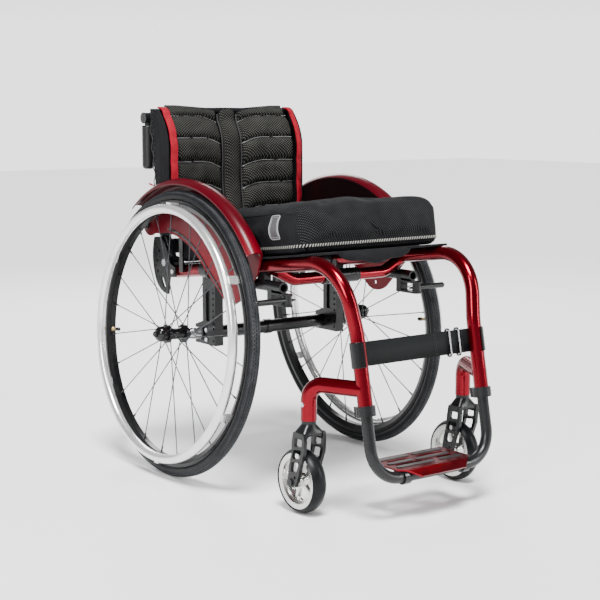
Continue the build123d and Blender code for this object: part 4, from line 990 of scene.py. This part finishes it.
def make_back_roll_and_strip():
    """What fills the top edge and the groove between the pads."""
    # padded roll along the top edge, behind the pads
    roll, points = Shape(), []
    for i in range(61):
        z = 0.7512 + jitter((i * 0.004, 0, 0), 30, 0.0005)
        points.append((lerp(-0.171, 0.171, i / 60), panel_y(0.750) - 0.007, z))
    radii = [0.0052 * sqrt(clamp01(min(i, 60 - i) / 3 + 0.04)) for i in range(61)]
    roll.tube(points, radii, 12)
    roll.make("back_top_roll", "fabric_plain", "backrest")

    # the mesh strip down the middle, standing in a groove between the pads
    loops = []
    for j in range(81):
        z = lerp(0.500, 0.7565, j / 80)
        close = sqrt(max(0.001, 1 - max(0.0, (j / 80 - 0.95) / 0.05) ** 2))
        half = 0.0195 + jitter((0, 0, z), 24, 0.0012)
        y = pad_y(0.024, z) + 0.0015
        ring = []
        for k in range(13):
            t = k / 12
            x = lerp(-half, half, t)
            rise = 0.007 * (1 - abs(2 * t - 1) ** 2.4) + jitter((x, 0, z), 60, 0.0008)
            ring.append((x, lerp(panel_y(z) - 0.002, y - rise, close), z))
        for k in range(12, -1, -3):
            ring.append((lerp(-half, half, k / 12), panel_y(z) - 0.0003, z))
        loops.append(ring)
    strip = Shape().loft(loops).make("back_centre_strip", "fabric_mesh", "backrest")


def make_back_lacing_and_straps():
    """Sewn and strapped details of the sides and the rear."""
    # lacing and stitched hems on each gusset
    lace, thread = Shape(), Shape()
    for side in (-1, 1):
        eyelets = []
        for i in range(13):
            z = lerp(0.505, 0.725, i / 12)
            y = cane_y(z) + (0.0090 if i % 2 else -0.0065)
            eyelets.append(Vector((side * (0.1752 if i % 2 else 0.1802), y, z)))
        lace.tube(curve_through(eyelets, 97), 0.0011, 6)
        for y_off in (-0.0115, -0.0045):
            line = [Vector((side * 0.1795, cane_y(z) + y_off, z)) for z in
                    [lerp(0.492, 0.748, i / 110) for i in range(111)]]
            stitches(thread, line, 0.004, 0.0024, 0.0005)
    lace.make("back_lacing", "thread_dark", "backrest", "fabric_plain")
    thread.make("back_hem_stitches", "thread_dark", "backrest", "fabric_plain")

    # tension straps across the rear of the back, with hook-and-loop ends
    straps = Shape()
    for n, z in enumerate(STRAP_HEIGHTS):
        points = []
        for k in range(41):
            x = lerp(-0.150, 0.150, k / 40)
            points.append((x, panel_y(z) + 0.0057 + 0.0003 * sin(9 * x + n), z))
        straps.band(points, [(0, 1, 0)] * 41, [(0, 0, 1)] * 41, 0.034, 0.0018)
    straps.make("back_tension_straps", "webbing", "backrest")

    # red pull tab under the right handle
    tab, root = Shape(), cane_y(0.588)
    points = [(-0.1745, root + 0.010, 0.5885), (-0.1750, root + 0.020, 0.5900),
              (-0.1755, root + 0.029, 0.5925)]
    tab.band(curve_through(points, 9), [(0, -0.15, 1)] * 9, [(1, 0, 0)] * 9, 0.006, 0.0014)
    tab.make("back_pull_tab", "edging_red", "backrest", "fabric_plain")


# ---- rear wheels
TYRE_MIDDLE, TYRE_SECTION, RIM_TOP, RIM_BED = 0.2825, 0.0125, 0.274, 0.257
TREAD_CELLS, TREAD_STEPS, SECTION_STEPS = 232, 1392, 30
SHOULDER, TREAD_DEPTH, TREAD_TOP = 1.12, 0.0009, 0.00038
VALVE_TURN = {"right": radians(95), "left": radians(86)}


def tread(turn, lean):
    """Depth of the tread: crossed cuts over the crown, two ribs at each shoulder, smooth walls."""
    round_tyre, over = turn * TREAD_CELLS / (2 * pi), lean * 2.1
    if abs(lean) < SHOULDER:
        cut = min(abs(sin(pi * (round_tyre + over))), abs(sin(pi * (round_tyre - over))))
        return TREAD_DEPTH * (1 - ease(cut / 0.62))
    rib = abs(lean) - SHOULDER
    return 0.0003 if 0.06 < rib < 0.13 or 0.75 < rib < 0.82 else 0.0


def wheel_frame(side):
    """Centre of a rear wheel, its outward axis, and two directions in its plane."""
    joint = joints[f"rear_wheel_{side}_spin"]
    out = Vector(joint["axis"]).normalized()
    if out.x * (1 if side == "left" else -1) < 0:
        out = -out
    up = (Vector((0, 0, 1)) - out * out.z).normalized()
    return Vector(joint["pos_m"]), out, up, out.cross(up)


def make_rear_tyre(side):
    middle, out, up, fore = wheel_frame(side)
    seat_angle = pi - asin(sqrt(TYRE_SECTION ** 2 - (TYRE_MIDDLE - RIM_TOP) ** 2) / TYRE_SECTION)
    verts, faces = [], []
    for i in range(TREAD_STEPS):
        turn = 2 * pi * i / TREAD_STEPS
        spoke = up * cos(turn) + fore * sin(turn)
        for k in range(SECTION_STEPS + 1):
            lean = lerp(-seat_angle, seat_angle, k / SECTION_STEPS)
            radius = TYRE_SECTION - tread(turn, lean) - 0.00005
            verts.append(middle + spoke * (TYRE_MIDDLE + radius * cos(lean)) + out * radius * sin(lean))
    row = SECTION_STEPS + 1
    for i in range(TREAD_STEPS):
        a, b = i * row, (i + 1) % TREAD_STEPS * row
        for k in range(row):
            n = (k + 1) % row
            faces.append((a + k, a + n, b + n, b + k))
    tyre = make_piece(f"rear_tyre_tread_{side}", verts, faces, "tyre_black", f"rear_wheel_{side}",
                      smooth=False)
    # the tops of the tread blocks get a paler material as a painted sheen, so they stand out from the darker cuts
    # and walls
    tyre.data.materials.append(MATERIALS["tread_top_sheen"])
    for face in tyre.data.polygons:
        spot = face.center - middle
        over = spot.dot(out)
        lean = abs(asin(max(-1.0, min(1.0, over / TYRE_SECTION))))
        rise = (spot - out * over).length - TYRE_MIDDLE
        depth = TYRE_SECTION - sqrt(rise ** 2 + over ** 2)
        if rise > 0 and lean < SHOULDER and depth < TREAD_TOP:
            face.material_index = 1
    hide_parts(f"rear_tyre_{side}")


def make_valve(side, turn):
    """Brass valve stem with its nut and a dark cap, on the rim's bed."""
    middle, out, up, fore = wheel_frame(side)
    inward = -(up * cos(turn) + fore * sin(turn))
    foot = middle - inward * (RIM_BED + 0.0005)
    stem = Shape().turn(foot, inward, (
        (-0.001, 0.0001), (-0.001, 0.0052), (0.0030, 0.0052), (0.0034, 0.0031), (0.0180, 0.0031),
        (0.0186, 0.0025), (0.0190, 0.0001),
    ), 20)
    stem.make(f"valve_stem_{side}", "brass", f"rear_wheel_{side}", "steel")
    cap = Shape().turn(foot + inward * 0.0175, inward, (
        (0, 0.0001), (0, 0.0040), (0.0080, 0.0040), (0.0100, 0.0030), (0.0106, 0.0001),
    ), 20)
    cap.make(f"valve_cap_{side}", "black_plastic", f"rear_wheel_{side}")


# ---- calf strap
LEG_X, LEG_R = 0.146, 0.014
LEG_LOW, LEG_HIGH = Vector((0, at(-0.5125), 0.203)), Vector((0, at(-0.484), 0.349))
STRAP_MIDDLE, STRAP_HALF = 0.310, 0.0235


def make_calf_strap():
    """Ribbed webbing between two moulded clips, doubled back through the wire rings."""
    leg = (LEG_HIGH - LEG_LOW).normalized()
    rear = Vector((0, leg.z, -leg.y))
    middle = LEG_LOW + leg * ((STRAP_MIDDLE - LEG_LOW.z) / leg.z)

    # each clip runs from the rear of its leg round the outside to the front
    clips = Shape()
    inner, outer = LEG_R + 0.0004, LEG_R + 0.0028
    section = (
        (inner, -1.0), (outer - 0.0008, -1.0), (outer - 0.0002, -0.985), (outer, -0.96),
        (outer, 0.96), (outer - 0.0002, 0.985), (outer - 0.0008, 1.0), (inner, 1.0),
    )
    for side in (-1, 1):
        loops = []
        for k in range(41):
            a = radians(lerp(100, -88, k / 40))
            spoke = Vector((side * cos(a), 0, 0)) + rear * sin(a)
            loops.append([
                middle + Vector((side * LEG_X, 0, 0)) + spoke * radius + leg * (STRAP_HALF * level)
                for radius, level in section
            ])
        clips.loft(loops)
    strap = clips.make("calf_strap_clips", "black_plastic", "frame", "webbing", smooth=False)
    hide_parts("calf_strap")

    web = Shape()
    points = []
    for k in range(61):
        x = lerp(-LEG_X, LEG_X, k / 60)
        points.append(middle + rear * (LEG_R + 0.0006 + 0.0006 * sin(pi * k / 60)) + Vector((x, 0, 0)))
    web.band(points, [rear] * 61, [leg] * 61, 0.0455, 0.0017)
    # the free tail, lying on the strap beyond the second ring
    tail = [p + rear * 0.0019 for p in points[34:57]]
    web.band(tail, [rear] * len(tail), [leg] * len(tail), 0.0445, 0.0014)
    web.make("calf_strap_web", "webbing", "frame")

    thread = Shape()
    for x in (-0.126, -0.122, 0.052, 0.056, 0.124):
        foot = middle + rear * (LEG_R + 0.0002) + Vector((x, 0, 0))
        line = [foot + leg * (STRAP_HALF * lerp(-0.85, 0.85, k / 24)) for k in range(25)]
        stitches(thread, line, 0.003, 0.0015, 0.0004)
    thread.make("calf_strap_stitches", "thread_dark", "frame", "webbing")


make_cushion()
make_sling()
make_pouch()
for _, sign in SIDES:
    make_pad(sign)
make_back_shell()
make_back_roll_and_strip()
make_back_lacing_and_straps()
for name, _ in SIDES:
    make_rear_tyre(name)
for name, turn in VALVE_TURN.items():
    make_valve(name, turn)
make_calf_strap()


# ---- stage
TENT = ((0.0, 1.0), (0.06, 1.0), (0.22, 0.14), (1.0, 0.08))     # rise above level, brightness
TENT_STRENGTH, TENT_DIMMEST = 2.35, 0.4
BRIGHT_WALL = (0.6, 0.8, 0.0)
FLOOR_HALF, FLOOR_DROP = 14.0, 0.0005
AIM = (0, 0, 0.4)


def add_stage():
    floor_shader = Shader("floor", (0.86, 0.86, 0.86), 0.6)
    floor_shader.color(floor_shader.noise(3.0, 2.0), (0.855, 0.855, 0.855), (0.865, 0.865, 0.865))
    bm = bmesh.new()
    bmesh.ops.create_grid(bm, x_segments=8, y_segments=8, size=FLOOR_HALF)
    mesh = bpy.data.meshes.new("floor")
    bm.to_mesh(mesh)
    bm.free()
    floor = link_new("floor", mesh, (0, 0, cad_box[0][2] - FLOOR_DROP))
    dress(floor, floor_shader.material)
    # white near the horizon, as the walls of a light tent, and dimmer overhead
    world = bpy.data.worlds.new("studio")
    world.use_nodes = True
    sky = Nodes(world.node_tree, "Generated")
    shade = sky.ramp(sky.axes()["Z"], [(rise, (level, level, level * 1.01)) for rise, level in TENT])
    # the wall behind the chair is the brightest
    inputs = {0: sky.coords, 1: BRIGHT_WALL}
    facing = sky.node("ShaderNodeVectorMath", inputs, operation="DOT_PRODUCT")
    wall = sky.spread(facing.outputs["Value"], TENT_STRENGTH * TENT_DIMMEST, TENT_STRENGTH, 0.6)
    background = sky.tree.nodes["Background"]
    sky.link(wall, background.inputs["Strength"])
    sky.link(shade, background.inputs["Color"])
    bpy.context.scene.world = world


def add_light(name, place, size, power):
    """A softbox aimed at the chair."""
    data = bpy.data.lights.new(name, "AREA")
    data.shape, data.size, data.size_y, data.energy = "RECTANGLE", size[0], size[1], power
    link_new(name, data, place, Vector(AIM) - Vector(place))


def add_sun(name, direction, strength, angle):
    data = bpy.data.lights.new(name, "SUN")
    data.energy, data.angle = strength, radians(angle)
    link_new(name, data, aim=direction)


add_stage()
add_sun("sky", (0.25, 0.35, -1.0), 7.6, 20)
add_light("key", (-2.6, -1.4, 1.9), (0.8, 1.8), 90)
add_light("strip", (1.7, -2.2, 1.3), (0.35, 1.6), 40)
add_light("back", (1.4, 2.6, 2.0), (1.6, 0.8), 60)
